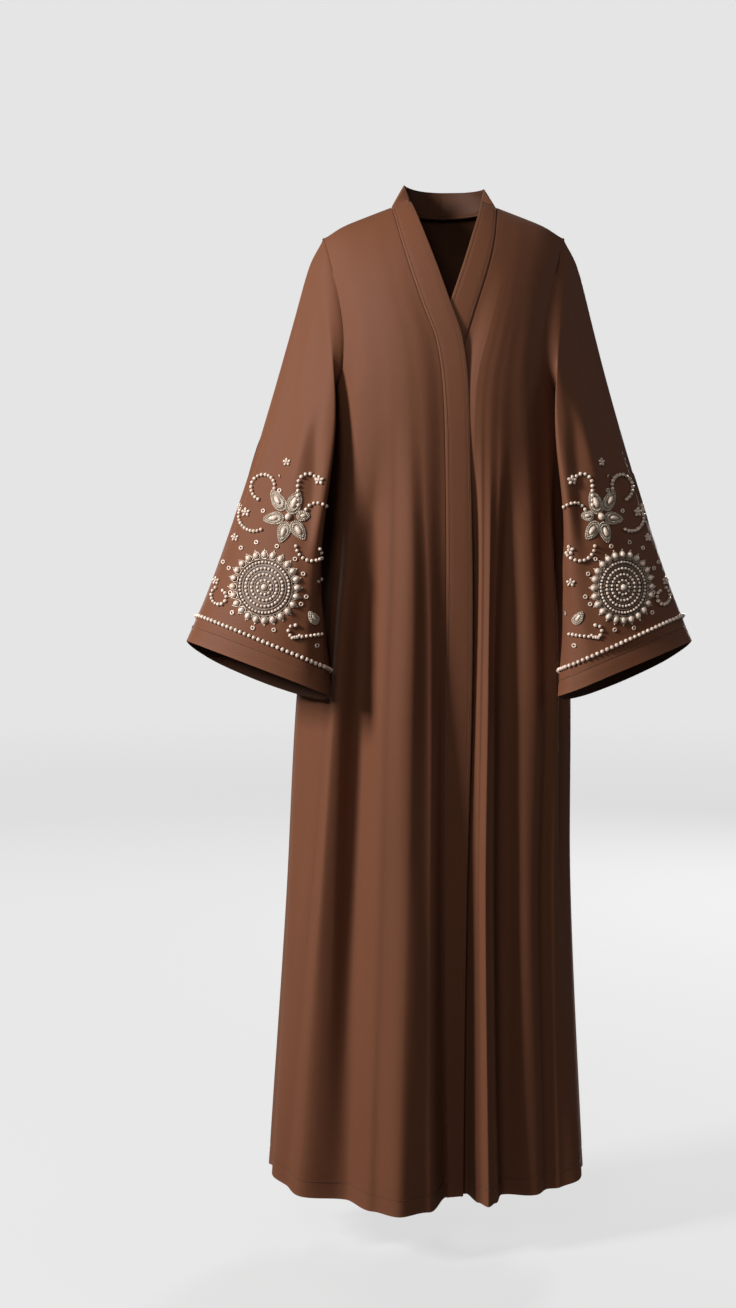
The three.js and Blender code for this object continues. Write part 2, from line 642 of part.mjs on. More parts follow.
// The sleeve's grid of outer points; the left one is the right one mirrored and a little narrower.
function sleeveGrid(sign) {
  const { ring } = armholeRing;
  const rows = [...sleeveRows, 1 + trimWidth / trimRise, 2];
  const at = (column, row) => sleeveSurface(column, sleeveShare(column, row));
  const grid = rows.map((row) => ring.map((p, c) => at(c, row)));
  const normals = rows.map((row) => ring.map((p, c) => {
    const low = Math.max(0, row - 0.01);
    const high = Math.min(2, row + 0.01);
    const alongC = at(c + 0.5, row).sub(at(c - 0.5, row));
    const alongR = at(c, high).sub(at(c, low));
    return alongR.cross(alongC).normalize();
  }));
  holdArmhole(grid, normals);
  if (sign > 0) {
    for (const line of grid) {
      for (const p of line) {
        const away = soft((-p.x - shoulderHalfWidth) / 60);
        p.x = -p.x - (1 - leftSleeveWidth) * Math.max(0, -p.x - shoulderHalfWidth) * away;
      }
    }
    for (const line of normals) for (const n of line) n.x = -n.x;
  }
  return { grid, normals };
}

// The sleeve's first ring stands off the panels' edges, and its wall doesn't lean over them.
function holdArmhole(grid, normals) {
  const ring = grid[0];
  const count = ring.length;
  const { bottom } = armholeRing;
  ring.forEach((p, c) => {
    const tangent = grid[0][(c + 1) % count].clone().sub(grid[0][(c + count - 1) % count]);
    const rear = c > bottom;
    const q = chestNormal(p, rear);
    const away = tangent.cross(q).normalize();
    if (c !== bottom && away.x > 0) away.negate();
    if (c === bottom && away.z < 0) away.negate();
    p.away = away;
  });
  ring.forEach((p, c) => {
    if (Math.abs(c - bottom) > 4) normals[0][c].copy(chestNormal(p, c > bottom));
    const lean = normals[0][c].dot(p.away);
    if (lean > -0.1) normals[0][c].addScaledVector(p.away, -lean - 0.1).normalize();
  });
  ring.forEach((p, c) => {
    const under = Math.abs(c - bottom) <= 4;
    p.addScaledVector(p.away, (under ? 5 : 3) * seamHalfGap);
    if (under) p.x -= 6 * seamHalfGap;
  });
}

function sleeve(sign) {
  const { grid, normals } = sleeveGrid(sign);
  return wallMesh(turnedFor(sign, grid), turnedFor(sign, normals), clothWall, true);
}

const turnedFor = (sign, lines) => (sign < 0 ? lines : lines.map((line) => [...line].reverse()));

function cuffTrim(sign) {
  const { grid, normals } = sleeveGrid(sign);
  const pick = [grid.length - 3, grid.length - 2];
  const lift = sleeveTrimLift + trimWall;
  const lines = pick.map((r) => grid[r].map((p, c) => p.clone().addScaledVector(normals[r][c], lift)));
  const facing = pick.map((r) => normals[r]);
  return wallMesh(turnedFor(sign, lines), turnedFor(sign, facing), trimWall, true);
}

// Plates on the sleeve's front: seen straight from the front, an outline about a centre.
const plateLift = 1.5;
const plateWall = 2.2;
const medallion = { x: -247, z: -530, petals: 24, inner: 45, outer: 52.5 };
const flower = { x: -214, z: -434, petals: 6, inner: 10, outer: 33, turn: 65 };

// Sleeve front under a point given in X and Z, with the normal of the face it lies on.
function onSleeve(grid, x, z) {
  let best = null;
  const count = grid[0].length;
  for (let r = 0; r < grid.length - 1; r += 1) {
    for (let c = 0; c < count; c += 1) {
      const [a, b] = [grid[r][c], grid[r + 1][c]];
      const [d, e] = [grid[r][(c + 1) % count], grid[r + 1][(c + 1) % count]];
      for (const [p, q, s] of [[a, b, e], [a, e, d]]) {
        const area = (q.x - p.x) * (s.z - p.z) - (s.x - p.x) * (q.z - p.z);
        const v = ((x - p.x) * (s.z - p.z) - (s.x - p.x) * (z - p.z)) / area;
        const w = ((q.x - p.x) * (z - p.z) - (x - p.x) * (q.z - p.z)) / area;
        if (v < 0 || w < 0 || v + w > 1) continue;
        const y = p.y + v * (q.y - p.y) + w * (s.y - p.y);
        if (best && best.point.y <= y) continue;
        const normal = q.clone().sub(p).cross(s.clone().sub(p)).normalize();
        if (normal.y > 0) normal.negate();
        best = { point: new THREE.Vector3(x, y, z), normal };
      }
    }
  }
  return best;
}

function plate(sign, spec, radiusAt, rings) {
  const { grid } = sleeveGrid(sign);
  const narrow = (x) => {
    const over = Math.max(0, -x - shoulderHalfWidth);
    return sign < 0 ? x : -x - (1 - leftSleeveWidth) * over * soft(over / 60);
  };
  const count = 48;
  const place = (radius, k) => {
    const a = (2 * Math.PI * k) / count;
    return onSleeve(grid, narrow(spec.x + radius * Math.cos(a)), spec.z + radius * Math.sin(a));
  };
  const points = [];
  for (const lift of [plateLift + plateWall, plateLift]) {
    const centre = place(0, 0);
    const put = (hit) => {
      const p = hit.point.clone().addScaledVector(hit.normal, lift);
      points.push(p.x, p.y, p.z);
    };
    put(centre);
    for (const share of rings) {
      for (let k = 0; k < count; k += 1) put(place(share * radiusAt((360 * k) / count), k));
    }
  }
  const half = 1 + rings.length * count;
  const id = (ring, k, under) => under * half + 1 + ring * count + (k % count);
  const faces = [];
  for (const under of [0, 1]) {
    const tri = (a, b, c) => (under ? faces.push(a, c, b) : faces.push(a, b, c));
    for (let k = 0; k < count; k += 1) {
      tri(under * half, id(0, k, under), id(0, k + 1, under));
      for (let r = 0; r < rings.length - 1; r += 1) {
        tri(id(r, k, under), id(r + 1, k, under), id(r + 1, k + 1, under));
        tri(id(r, k, under), id(r + 1, k + 1, under), id(r, k + 1, under));
      }
    }
  }
  const rim = rings.length - 1;
  for (let k = 0; k < count; k += 1) {
    faces.push(id(rim, k, 0), id(rim, k, 1), id(rim, k + 1, 1));
    faces.push(id(rim, k, 0), id(rim, k + 1, 1), id(rim, k + 1, 0));
  }
  if (sign > 0) faces.reverse();
  const geometry = new THREE.BufferGeometry();
  geometry.setAttribute("position", new THREE.Float32BufferAttribute(points, 3));
  geometry.setIndex(faces);
  geometry.computeVertexNormals();
  return geometry;
}

function medallionPlate(sign) {
  const wave = (a) => Math.pow(Math.abs(Math.cos((medallion.petals / 2) * a * rad)), 0.7);
  return plate(sign, medallion, (a) => blend(medallion.inner, medallion.outer, wave(a)), [0.34, 0.67, 1]);
}

function flowerPlate(sign) {
  const wave = (a) => Math.pow(Math.abs(Math.cos((flower.petals / 2) * (a - flower.turn) * rad)), 1.4);
  return plate(sign, flower, (a) => blend(flower.inner, flower.outer, wave(a)), [0.5, 1]);
}

const group = new THREE.Group();
group.name = "open_front_abaya";

const cloth = () => new THREE.MeshStandardMaterial({ color: 0x5e3d2b, roughness: 0.78, metalness: 0 });
const bandCloth = () => new THREE.MeshStandardMaterial({ color: 0x64422f, roughness: 0.76, metalness: 0 });
const beads = () => new THREE.MeshStandardMaterial({ color: 0xe4dcca, roughness: 0.42, metalness: 0 });
const beadWork = () => new THREE.MeshStandardMaterial({ color: 0xb9b0a0, roughness: 0.45, metalness: 0 });

function add(name, geometry, material) {
  const mesh = new THREE.Mesh(geometry, material);
  mesh.name = name;
  group.add(mesh);
}

add("back", backPanel(), cloth());
add("front_right", frontPanel(rightFolds, rightNeck, -1), cloth());
add("front_left", frontPanel(leftFolds, leftNeck, 1), cloth());
add("band_right", band(rightFolds, rightNeck, -1), bandCloth());
add("band_left", band(leftFolds, leftNeck, 1), bandCloth());
for (const [side, sign] of [["right", -1], ["left", 1]]) {
  add("sleeve_" + side, sleeve(sign), cloth());
  add("trim_" + side, cuffTrim(sign), beads());
  add("medallion_" + side, medallionPlate(sign), beadWork());
  add("flower_" + side, flowerPlate(sign), beadWork());
}

export default group;
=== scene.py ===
import math
import random

import bpy
import numpy as np
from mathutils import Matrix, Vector
from mathutils.bvhtree import BVHTree


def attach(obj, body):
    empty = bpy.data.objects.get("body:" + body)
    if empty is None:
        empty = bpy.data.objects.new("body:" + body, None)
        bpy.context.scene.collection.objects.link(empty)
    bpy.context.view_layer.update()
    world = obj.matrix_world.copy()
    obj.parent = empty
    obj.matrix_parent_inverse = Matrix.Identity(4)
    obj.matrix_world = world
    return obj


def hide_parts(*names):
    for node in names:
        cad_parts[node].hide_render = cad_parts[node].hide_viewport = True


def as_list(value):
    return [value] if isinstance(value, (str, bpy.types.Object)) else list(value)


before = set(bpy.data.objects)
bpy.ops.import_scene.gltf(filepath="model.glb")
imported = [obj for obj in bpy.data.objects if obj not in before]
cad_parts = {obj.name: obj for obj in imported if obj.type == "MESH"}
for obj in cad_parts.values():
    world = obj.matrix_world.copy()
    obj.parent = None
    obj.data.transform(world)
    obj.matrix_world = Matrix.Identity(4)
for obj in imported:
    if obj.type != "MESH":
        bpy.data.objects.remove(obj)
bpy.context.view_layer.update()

# The cut of the garment, in millimetres, as in the part.
cut = {
    "chestLevel": -276, "neckHalfWidth": 74, "shoulderHalfWidth": 172, "neckPointLevel": -2,
    "shoulderDrop": 37, "squareness": 2.3, "hemLevel": -1400,
    # level, middle in x, middle in y, half width, depth in front, depth behind
    "body": [(-276, 0, 0, 172, 118, 104), (-480, -4, 8, 183, 114, 102), (-690, -11, 10, 196, 108, 100),
             (-987, -17, 8, 204, 96, 102), (-1400, -20, 6, 226, 86, 106)],
    "foldLevels": [-276, -672, -1400],
    # name, direction at chest, hip and hem, how far out at chest, hip and hem
    "rightFolds": [
        ("side", -90, -90, -90, 0, 0, 0), ("tuck", -68, -66, -76, -5, -14, 5),
        ("press", -54, -51, -63, -9, -8, 0), ("ridgeA", -41, -42, -50, 3, 10, 13),
        ("valleyA", -28, -31, -29, -5, -12, -10), ("riseB", -21, -17, -17, 0, 8, 24),
        ("ridgeB", -14, -8, -8, 4, 17, 42), ("fallB", -9, -2, 0, -1, 7, 22),
        ("seam", -0.55, 2, 5, -5, -9, -36), ("edge", 8.46, 12, 11, -4, -9, -38)],
    "leftFolds": [
        ("edge", -7.12, -3.5, -1.3, -14, -18, -46), ("seam", 1.7, 4, 5.1, -14, -18, -46),
        ("under", 9.5, 12.6, 12.4, -13, -18, -47), ("riseC", 14, 15.5, 15.5, -3, -4, -8),
        ("ridgeC", 18, 18, 18.5, 3, 4, 13), ("fallC", 22, 21, 22, 0, 0, 0),
        ("valleyC", 28, 27, 26.5, -6, -15, -30), ("ridgeD", 37, 43, 42, 4, 4, -8),
        ("valleyD", 46, 51, 50, -3, -5, -18), ("ridgeE", 53, 57, 58, 0, 3, -8),
        ("tuck", 66, 68, 74, -9, -14, 3), ("side", 90, 90, 90, 0, 0, 0)],
    "backFolds": [
        ("side", 90, 90, 90, 0, 0, 0), ("ridge1", 106, 107, 109, 1, 6, 16),
        ("valley1", 121, 122, 123, -2, -8, -20), ("ridge2", 136, 136, 138, 3, 10, 22),
        ("valley2", 150, 151, 151, -2, -6, -16), ("ridge3", 165.4, 166, 165, 2, 9, 25),
        ("valley3", 180, 181, 183, -3, -9, -24), ("ridge4", 194.6, 196, 198, 3, 11, 27),
        ("valley4", 210, 211, 210, -2, -7, -17), ("ridge5", 226, 226, 223, 2, 8, 20),
        ("valley5", 240, 241, 240, -2, -9, -19), ("ridge6", 256, 256, 254, 1, 5, 15),
        ("side", 270, 270, 270, 0, 0, 0)],
    # direction round the body, level of the hem
    "hem": [(-180, -1408), (-120, -1400), (-90, -1384), (-50, -1402), (-10, -1412),
            (20, -1409), (50, -1402), (90, -1388), (120, -1400), (180, -1408)],
    # level, the band's seam, its free edge, level of that edge
    "rightNeck": [(-2, -74, -55.5, 30.7), (-20, -69.5, -44.5, 0), (-47, -63, -31, -38),
                  (-97, -48.5, -11.5, -92), (-148, -31.5, 7, -145), (-194, -14, 23, -192),
                  (-243, -5.6, 30.6, -243), (-276, -3, 32.5, -276)],
    "leftNeck": [(-2, 74, 57, 25), (-25, 72, 49, -8), (-57, 68, 36, -50), (-92, 60, 24, -88),
                 (-134, 47.3, 9, -132), (-194, 28.4, -12, -191), (-243, 12, -24, -243),
                 (-276, 8, -28, -276)],
    # level, inset of the armhole in front and behind
    "armhole": [(-276, 0, 0), (-272, 8, 6), (-262, 17, 12), (-250, 24, 16), (-225, 31, 20),
                (-180, 31, 20), (-120, 22, 14), (-80, 12, 8), (-39, 0, 0)],
}


def smoothAlong(keys, values, at):
    # smooth curve through a table's rows
    keys = np.asarray(keys, float)
    values = np.asarray(values, float)
    order = np.argsort(keys)
    keys, values = keys[order], values[order]
    slope = np.empty(len(keys))
    slope[1:-1] = (values[2:] - values[:-2]) / (keys[2:] - keys[:-2])
    slope[0] = (values[1] - values[0]) / (keys[1] - keys[0])
    slope[-1] = (values[-1] - values[-2]) / (keys[-1] - keys[-2])
    at = np.clip(at, keys[0], keys[-1])
    i = np.clip(np.searchsorted(keys, at, side="left") - 1, 0, len(keys) - 2)
    span = keys[i + 1] - keys[i]
    t = (at - keys[i]) / span
    s = t * t * (3 - 2 * t)
    bend = t * (1 - t) * span
    return values[i] * (1 - s) + values[i + 1] * s + bend * (slope[i] * (1 - t) - slope[i + 1] * t)


def column(rows, index):
    return [row[index] for row in rows]


def softStep(t):
    u = np.clip(t, 0, 1)
    return u * u * (3 - 2 * u)


def signedPower(v, p):
    return np.sign(v) * np.abs(v) ** p


def foldAt(folds, place, level):
    place, level = np.broadcast_arrays(np.asarray(place, float), np.asarray(level, float))
    turns = np.stack([smoothAlong(cut["foldLevels"], f[1:4], level) for f in folds])
    outs = np.stack([smoothAlong(cut["foldLevels"], f[4:7], level) for f in folds])
    i = np.clip(np.floor(place).astype(int), 0, len(folds) - 2)
    t = place - i
    pick = lambda a, k: np.take_along_axis(a, k[None], axis=0)[0]
    turn = pick(turns, i) * (1 - t) + pick(turns, i + 1) * t
    s = softStep(t)
    return turn, pick(outs, i) * (1 - s) + pick(outs, i + 1) * s


def sectionPoint(turn, out, level):
    at = np.maximum(cut["hemLevel"], level)
    get = lambda k: smoothAlong(column(cut["body"], 0), column(cut["body"], k), at)
    a = np.radians(turn)
    depth = np.where(np.cos(a) > 0, get(4), get(5))
    half = get(3)
    q = cut["squareness"]
    x = signedPower(np.sin(a), 2 / q)
    y = -signedPower(np.cos(a), 2 / q)
    nx = signedPower(x, q - 1) / half
    ny = signedPower(y, q - 1) / depth
    size = np.hypot(nx, ny)
    return np.stack([get(1) + half * x + out * nx / size, get(2) + depth * y + out * ny / size, level], -1)


def shoulderLine(x):
    slope = cut["shoulderDrop"] / (cut["shoulderHalfWidth"] - cut["neckHalfWidth"])
    u = np.abs(x)
    n = cut["neckHalfWidth"]
    inner = cut["neckPointLevel"] + slope * (n - u) * (0.75 + 0.25 * (u / n))
    return np.where(u > n, cut["neckPointLevel"] - slope * (u - n), inner)


def backNeckline(x):
    return cut["neckPointLevel"] - 8 * (1 - (x / cut["neckHalfWidth"]) ** 2)


def chestPoint(x, z, out, rear):
    # a rounded fall from the shoulder line to the chest section
    q = cut["squareness"]
    u = np.minimum(1, np.abs(x) / cut["shoulderHalfWidth"])
    full = cut["body"][0][5] if rear else cut["body"][0][4]
    depth = full * (1 - u ** q) ** (1 / q)
    rise = np.clip((z - cut["chestLevel"]) / (shoulderLine(x) - cut["chestLevel"]), 0, 1)
    fall = depth * np.sqrt(1 - rise * rise)
    nx = np.sign(x) * u ** (q - 1) / cut["shoulderHalfWidth"]
    ny = (1 - u ** q) ** ((q - 1) / q) / full
    size = np.hypot(nx, ny)
    fade = out * softStep(1 - rise / 0.75)
    side = 1 if rear else -1
    return np.stack([x + fade * nx / size, side * (fall + fade * ny / size), z], -1)


def armInset(z, rear):
    return smoothAlong(column(cut["armhole"], 0), column(cut["armhole"], 2 if rear else 1), z)


# how much of a front's folds the chest holds flat, how soon beside the band, and how far down
chestCalm = {"share": 0.88, "pace": 0.8, "reach": 210}


def awayFromBand(folds, place, level):
    # the chest is smooth, and the folds of a front start below it
    names = column(folds, 0)
    if "seam" not in names:
        return 1
    seam = names.index("seam")
    inward = 1 if names.index("edge") > seam else -1
    away = softStep(np.maximum((seam - place) * inward, 0) * chestCalm["pace"])
    below = softStep((cut["chestLevel"] - level) / chestCalm["reach"])
    return 1 - chestCalm["share"] * away * (1 - below)


def frontChest(folds, neck, sign, place, rise):
    q, wide, chest = cut["squareness"], cut["shoulderHalfWidth"], cut["chestLevel"]
    names = column(folds, 0)
    seam, edge = names.index("seam"), names.index("edge")
    turn, out = foldAt(folds, place, np.full(np.shape(place), float(chest)))
    xChest = wide * signedPower(np.sin(np.radians(turn)), 2 / q)
    seamChest = wide * signedPower(math.sin(math.radians(folds[seam][1])), 2 / q)
    share = (xChest - seamChest) / (sign * wide - seamChest)
    if (place[0, 0] - seam) * (edge - seam) > 0 or (place[0, -1] - seam) * (edge - seam) > 0:
        # the band, across from its seam to its free edge
        across = (place - seam) / (edge - seam)
        x = np.full(np.shape(place), seamChest)
        for step in range(12):
            z = chest + (shoulderLine(x) - chest) * rise
            x = smoothAlong(column(neck, 0), column(neck, 1), z)
        edgeX = smoothAlong(column(neck, 0), column(neck, 2), z)
        edgeZ = smoothAlong(column(neck, 0), column(neck, 3), z)
        return chestPoint(x + (edgeX - x) * across, z + (edgeZ - z) * across, out, False)
    share = np.maximum(share, 0)
    x = xChest
    for step in range(12):
        z = chest + (shoulderLine(x) - chest) * rise
        line = smoothAlong(column(neck, 0), column(neck, 1), z)
        x = line + (sign * wide - line) * share - sign * armInset(z, False) * share ** 4
    out = out * awayFromBand(folds, place, chest)
    return chestPoint(x, z, out * (1 - softStep(5 * rise) * share ** 5), False)


def backChest(place, rise):
    q, wide, chest = cut["squareness"], cut["shoulderHalfWidth"], cut["chestLevel"]
    turn, out = foldAt(cut["backFolds"], place, np.full(np.shape(place), float(chest)))
    share = signedPower(np.sin(np.radians(turn)), 2 / q)
    x = share * wide
    for step in range(12):
        top = np.where(np.abs(x) < cut["neckHalfWidth"], backNeckline(x), shoulderLine(x))
        z = chest + (top - chest) * rise
        x = share * wide - armInset(z, True) * signedPower(share, 5)
    return chestPoint(x, z, out * (1 - softStep(5 * rise) * np.abs(share) ** 5), True)


def skirt(folds, place, drop):
    turnAtHem, _ = foldAt(folds, place, np.full(np.shape(place), float(cut["hemLevel"])))
    wrapped = np.where(turnAtHem > 180, turnAtHem - 360, turnAtHem)
    low = smoothAlong(column(cut["hem"], 0), column(cut["hem"], 1), wrapped)
    level = cut["chestLevel"] + (low - cut["chestLevel"]) * drop
    turn, out = foldAt(folds, place, level)
    return sectionPoint(turn, out * awayFromBand(folds, place, level), level)


def smoothRows(grid, middle, reach, times):
    # eases the cloth over the chest, where the fall of the skirt begins
    rows = np.arange(len(grid))
    weight = np.clip(1 - np.abs(rows - middle) / reach, 0, 1)[:, None, None] * 0.5
    for step in range(times):
        mean = grid.copy()
        mean[1:-1] = (grid[:-2] + grid[2:]) / 2
        grid = grid + (mean - grid) * weight
    return grid


panelGrid = {"chestRows": 54, "skirtRows": 128}


def placesOf(low, high, each):
    inner = np.linspace(low, high, int((high - low) * each) + 1)[1:-1]
    return np.concatenate([[low, low + 0.03, low + 0.075], inner[1:-1], [high - 0.075, high - 0.03, high]])


def panel(chest, folds, low, high, each):
    places = placesOf(low, high, each)
    rises = np.sin(np.linspace(math.pi / 2, 0, panelGrid["chestRows"]))
    drops = np.linspace(0, 1, panelGrid["skirtRows"])[1:]
    place, rise = np.meshgrid(places, rises)
    upper = chest(place, rise)
    place, drop = np.meshgrid(places, drops)
    grid = np.concatenate([upper, skirt(folds, place, drop)])
    return smoothRows(grid, len(rises), 12, 30)


def gridNormals(grid, centre, ring=False):
    down = np.gradient(grid, axis=0)
    if ring:
        across = (np.roll(grid, -1, axis=1) - np.roll(grid, 1, axis=1)) / 2
    else:
        across = np.gradient(grid, axis=1)
    normal = np.cross(across, down)
    normal /= np.maximum(np.linalg.norm(normal, axis=-1, keepdims=True), 1e-9)
    turned = np.sum(normal * (grid - centre), axis=-1).mean() < 0
    return (-normal if turned else normal), turned


def creasePush(grid, creases):
    # soft ridges and troughs along bent lines seen from the front: from, bend, to, width, height
    push = np.zeros(grid.shape[:2])
    x, z = grid[..., 0], grid[..., 2]
    for x0, z0, x1, z1, x2, z2, wide, high in creases:
        best = np.full(x.shape, 1e9)
        where = np.zeros(x.shape)
        steps = 14
        for k in range(steps):
            ends = []
            for t in (k / steps, (k + 1) / steps):
                a, b, c = (1 - t) ** 2, 2 * t * (1 - t), t * t
                ends.append((a * x0 + b * x1 + c * x2, a * z0 + b * z1 + c * z2))
            (ax, az), (bx, bz) = ends
            dx, dz = bx - ax, bz - az
            t = np.clip(((x - ax) * dx + (z - az) * dz) / (dx * dx + dz * dz), 0, 1)
            d = np.hypot(x - ax - t * dx, z - az - t * dz)
            near = d < best
            best = np.where(near, d, best)
            where = np.where(near, (k + t) / steps, where)
        fade = np.sin(np.pi * np.clip(where, 0.0, 1.0)) ** 0.8
        push += high * np.exp(-(best / wide) ** 2) * fade
    return push


def unevenPush(shape, seed, size):
    # slow uneven swell of hanging cloth
    dice = random.Random(seed)
    r = np.linspace(0, 1, shape[0])[:, None]
    c = np.linspace(0, 1, shape[1])[None, :]
    push = np.zeros(shape)
    for k in range(9):
        fr, fc = dice.uniform(0.6, 3.2), dice.uniform(1.0, 5.0)
        push += np.sin(2 * math.pi * (fr * r + fc * c + dice.random())) * dice.uniform(0.3, 1.0)
    edge = np.minimum(np.minimum(c, 1 - c) * 9, np.minimum(r, 1 - r) * 14)
    return push / 4.5 * size * np.clip(edge, 0, 1)


def lengthsOf(grid, ring=False):
    across = np.linalg.norm(np.diff(grid, axis=1), axis=-1)
    u = np.concatenate([np.zeros((len(grid), 1)), np.cumsum(across, axis=1)], axis=1)
    if ring:
        last = np.linalg.norm(grid[:, -1] - grid[:, 0], axis=-1)[:, None]
        u = np.concatenate([u, u[:, -1:] + last], axis=1)
    u = u - u[:, u.shape[1] // 2][:, None]
    down = np.linalg.norm(np.diff(grid, axis=0), axis=-1)
    v = np.concatenate([np.zeros((1, grid.shape[1])), np.cumsum(down, axis=0)])
    if ring:
        v = np.concatenate([v, v[:, :1]], axis=1)
    return u, v


def meshObject(name, points, faces):
    mesh = bpy.data.meshes.new(name)
    mesh.from_pydata([tuple(p) for p in points], [], [tuple(f) for f in faces])
    mesh.update()
    obj = bpy.data.objects.new(name, mesh)
    bpy.context.scene.collection.objects.link(obj)
    mesh.polygons.foreach_set("use_smooth", [True] * len(mesh.polygons))
    return obj


def clothShell(name, grid, wall, centre, ring=False, wearEdges=()):
    # closed thin wall under a grid of outer points, with its own UV map in metres along the weave
    normal, turned = gridNormals(grid, centre, ring)
    rows, cols = grid.shape[:2]
    inner = grid - normal * wall
    points = np.concatenate([grid.reshape(-1, 3), inner.reshape(-1, 3)]) * 0.001
    cells = cols if ring else cols - 1
    r, c = np.meshgrid(np.arange(rows - 1), np.arange(cells), indexing="ij")
    r, c = r.ravel(), c.ravel()
    d = (c + 1) % cols
    front = np.stack([r * cols + c, r * cols + d, (r + 1) * cols + d, (r + 1) * cols + c], 1)
    uvFront = np.stack([r * (cells + 1) + c, r * (cells + 1) + c + 1,
                        (r + 1) * (cells + 1) + c + 1, (r + 1) * (cells + 1) + c], 1)
    count = rows * cols
    behind = front[:, ::-1] + count
    strips, uvStrips = [], []

    def strip(a, b, ua, ub):
        strips.append(np.stack([b, a, a + count, b + count], 1))
        uvStrips.append(np.stack([ub, ua, ua, ub], 1))

    k = np.arange(cells)
    wrap = (k + 1) % cols
    strip(k, wrap, k, k + 1)
    strip((rows - 1) * cols + wrap, (rows - 1) * cols + k, (rows - 1) * (cells + 1) + k + 1,
          (rows - 1) * (cells + 1) + k)
    if not ring:
        k = np.arange(rows - 1)
        strip((k + 1) * cols, k * cols, (k + 1) * (cells + 1), k * (cells + 1))
        strip(k * cols + cols - 1, (k + 1) * cols + cols - 1, k * (cells + 1) + cells,
              (k + 1) * (cells + 1) + cells)
    faces = np.concatenate([front, behind] + strips)
    uvIndex = np.concatenate([uvFront, uvFront[:, ::-1]] + uvStrips)
    if turned:
        faces, uvIndex = faces[:, ::-1], uvIndex[:, ::-1]
    obj = meshObject(name, points, faces.tolist())
    u, v = lengthsOf(grid, ring)
    uv = np.stack([u.ravel(), v.ravel()], 1) * 0.001
    layer = obj.data.uv_layers.new(name="weave")
    layer.data.foreach_set("uv", uv[uvIndex.ravel()].ravel())
    # how near a point is to a free edge, for the wear there
    away = np.full((rows, cols), 1e9)
    down = v[:, :cols]
    side = u[:, :cols] - u[:, :1]
    full = u[:, -1:] - u[:, :1]
    for edge in wearEdges:
        gap = {"bottom": down[-1:] - down, "top": down, "first": side, "last": full - side}[edge]
        away = np.minimum(away, gap)
    wear = np.clip(1 - away / 9, 0, 1).ravel()
    layer = obj.data.attributes.new("wear", "FLOAT", "POINT")
    layer.data.foreach_set("value", np.concatenate([wear, wear]))
    # marks the inner face of the wall, which the crepe finish paints darker as painted shade
    inside = obj.data.attributes.new("inside", "FLOAT", "POINT")
    inside.data.foreach_set("value", np.concatenate([np.zeros(count), np.ones(count)]))
    sharpenRim(obj, count)
    return obj


def sharpenRim(obj, count):
    mesh = obj.data
    pairs = np.empty(len(mesh.edges) * 2, int)
    mesh.edges.foreach_get("vertices", pairs)
    pairs = pairs.reshape(-1, 2)
    rimPoints = np.zeros(len(mesh.vertices), bool)
    across = (pairs[:, 0] < count) != (pairs[:, 1] < count)
    rimPoints[pairs[across].ravel()] = True
    along = ~across & rimPoints[pairs[:, 0]] & rimPoints[pairs[:, 1]]
    flag = mesh.attributes.new("sharp_edge", "BOOLEAN", "EDGE")
    flag.data.foreach_set("value", along)


def newFinish(name):
    finish = bpy.data.materials.new(name)
    finish.use_nodes = True
    tree = finish.node_tree
    shader = tree.nodes["Principled BSDF"]
    return finish, tree, shader


def node(tree, kind, **values):
    made = tree.nodes.new(kind)
    for key, value in values.items():
        if key in made.inputs:
            made.inputs[key].default_value = value
        else:
            setattr(made, key, value)
    return made


def mixColour(tree, factor, a, b):
    mix = tree.nodes.new("ShaderNodeMix")
    mix.data_type = "RGBA"
    for socket, value in ((mix.inputs[0], factor), (mix.inputs[6], a), (mix.inputs[7], b)):
        if hasattr(value, "is_output"):
            tree.links.new(value, socket)
        elif isinstance(value, (tuple, list)):
            socket.default_value = (*value, 1)
        else:
            socket.default_value = value
    return mix.outputs[2]


def scaledUv(tree, x, y):
    uv = node(tree, "ShaderNodeUVMap", uv_map="weave")
    mapping = node(tree, "ShaderNodeMapping")
    mapping.inputs["Scale"].default_value = (x, y, 1)
    tree.links.new(uv.outputs["UV"], mapping.inputs["Vector"])
    return mapping.outputs["Vector"]


# colours of the crepe; the colour for the inner face is painted shade, not a colour of the cloth
crepe = {"colour": (0.130, 0.046, 0.021), "dark": (0.112, 0.038, 0.017), "light": (0.148, 0.054, 0.026),
         "worn": (0.17, 0.07, 0.037), "paintedInsideShade": (0.055, 0.020, 0.009), "roughness": (0.56, 0.72),
         "gloss": 0.15, "sheen": 0.07, "sheenRoughness": 0.42, "sheenTint": (1.0, 0.78, 0.66, 1)}


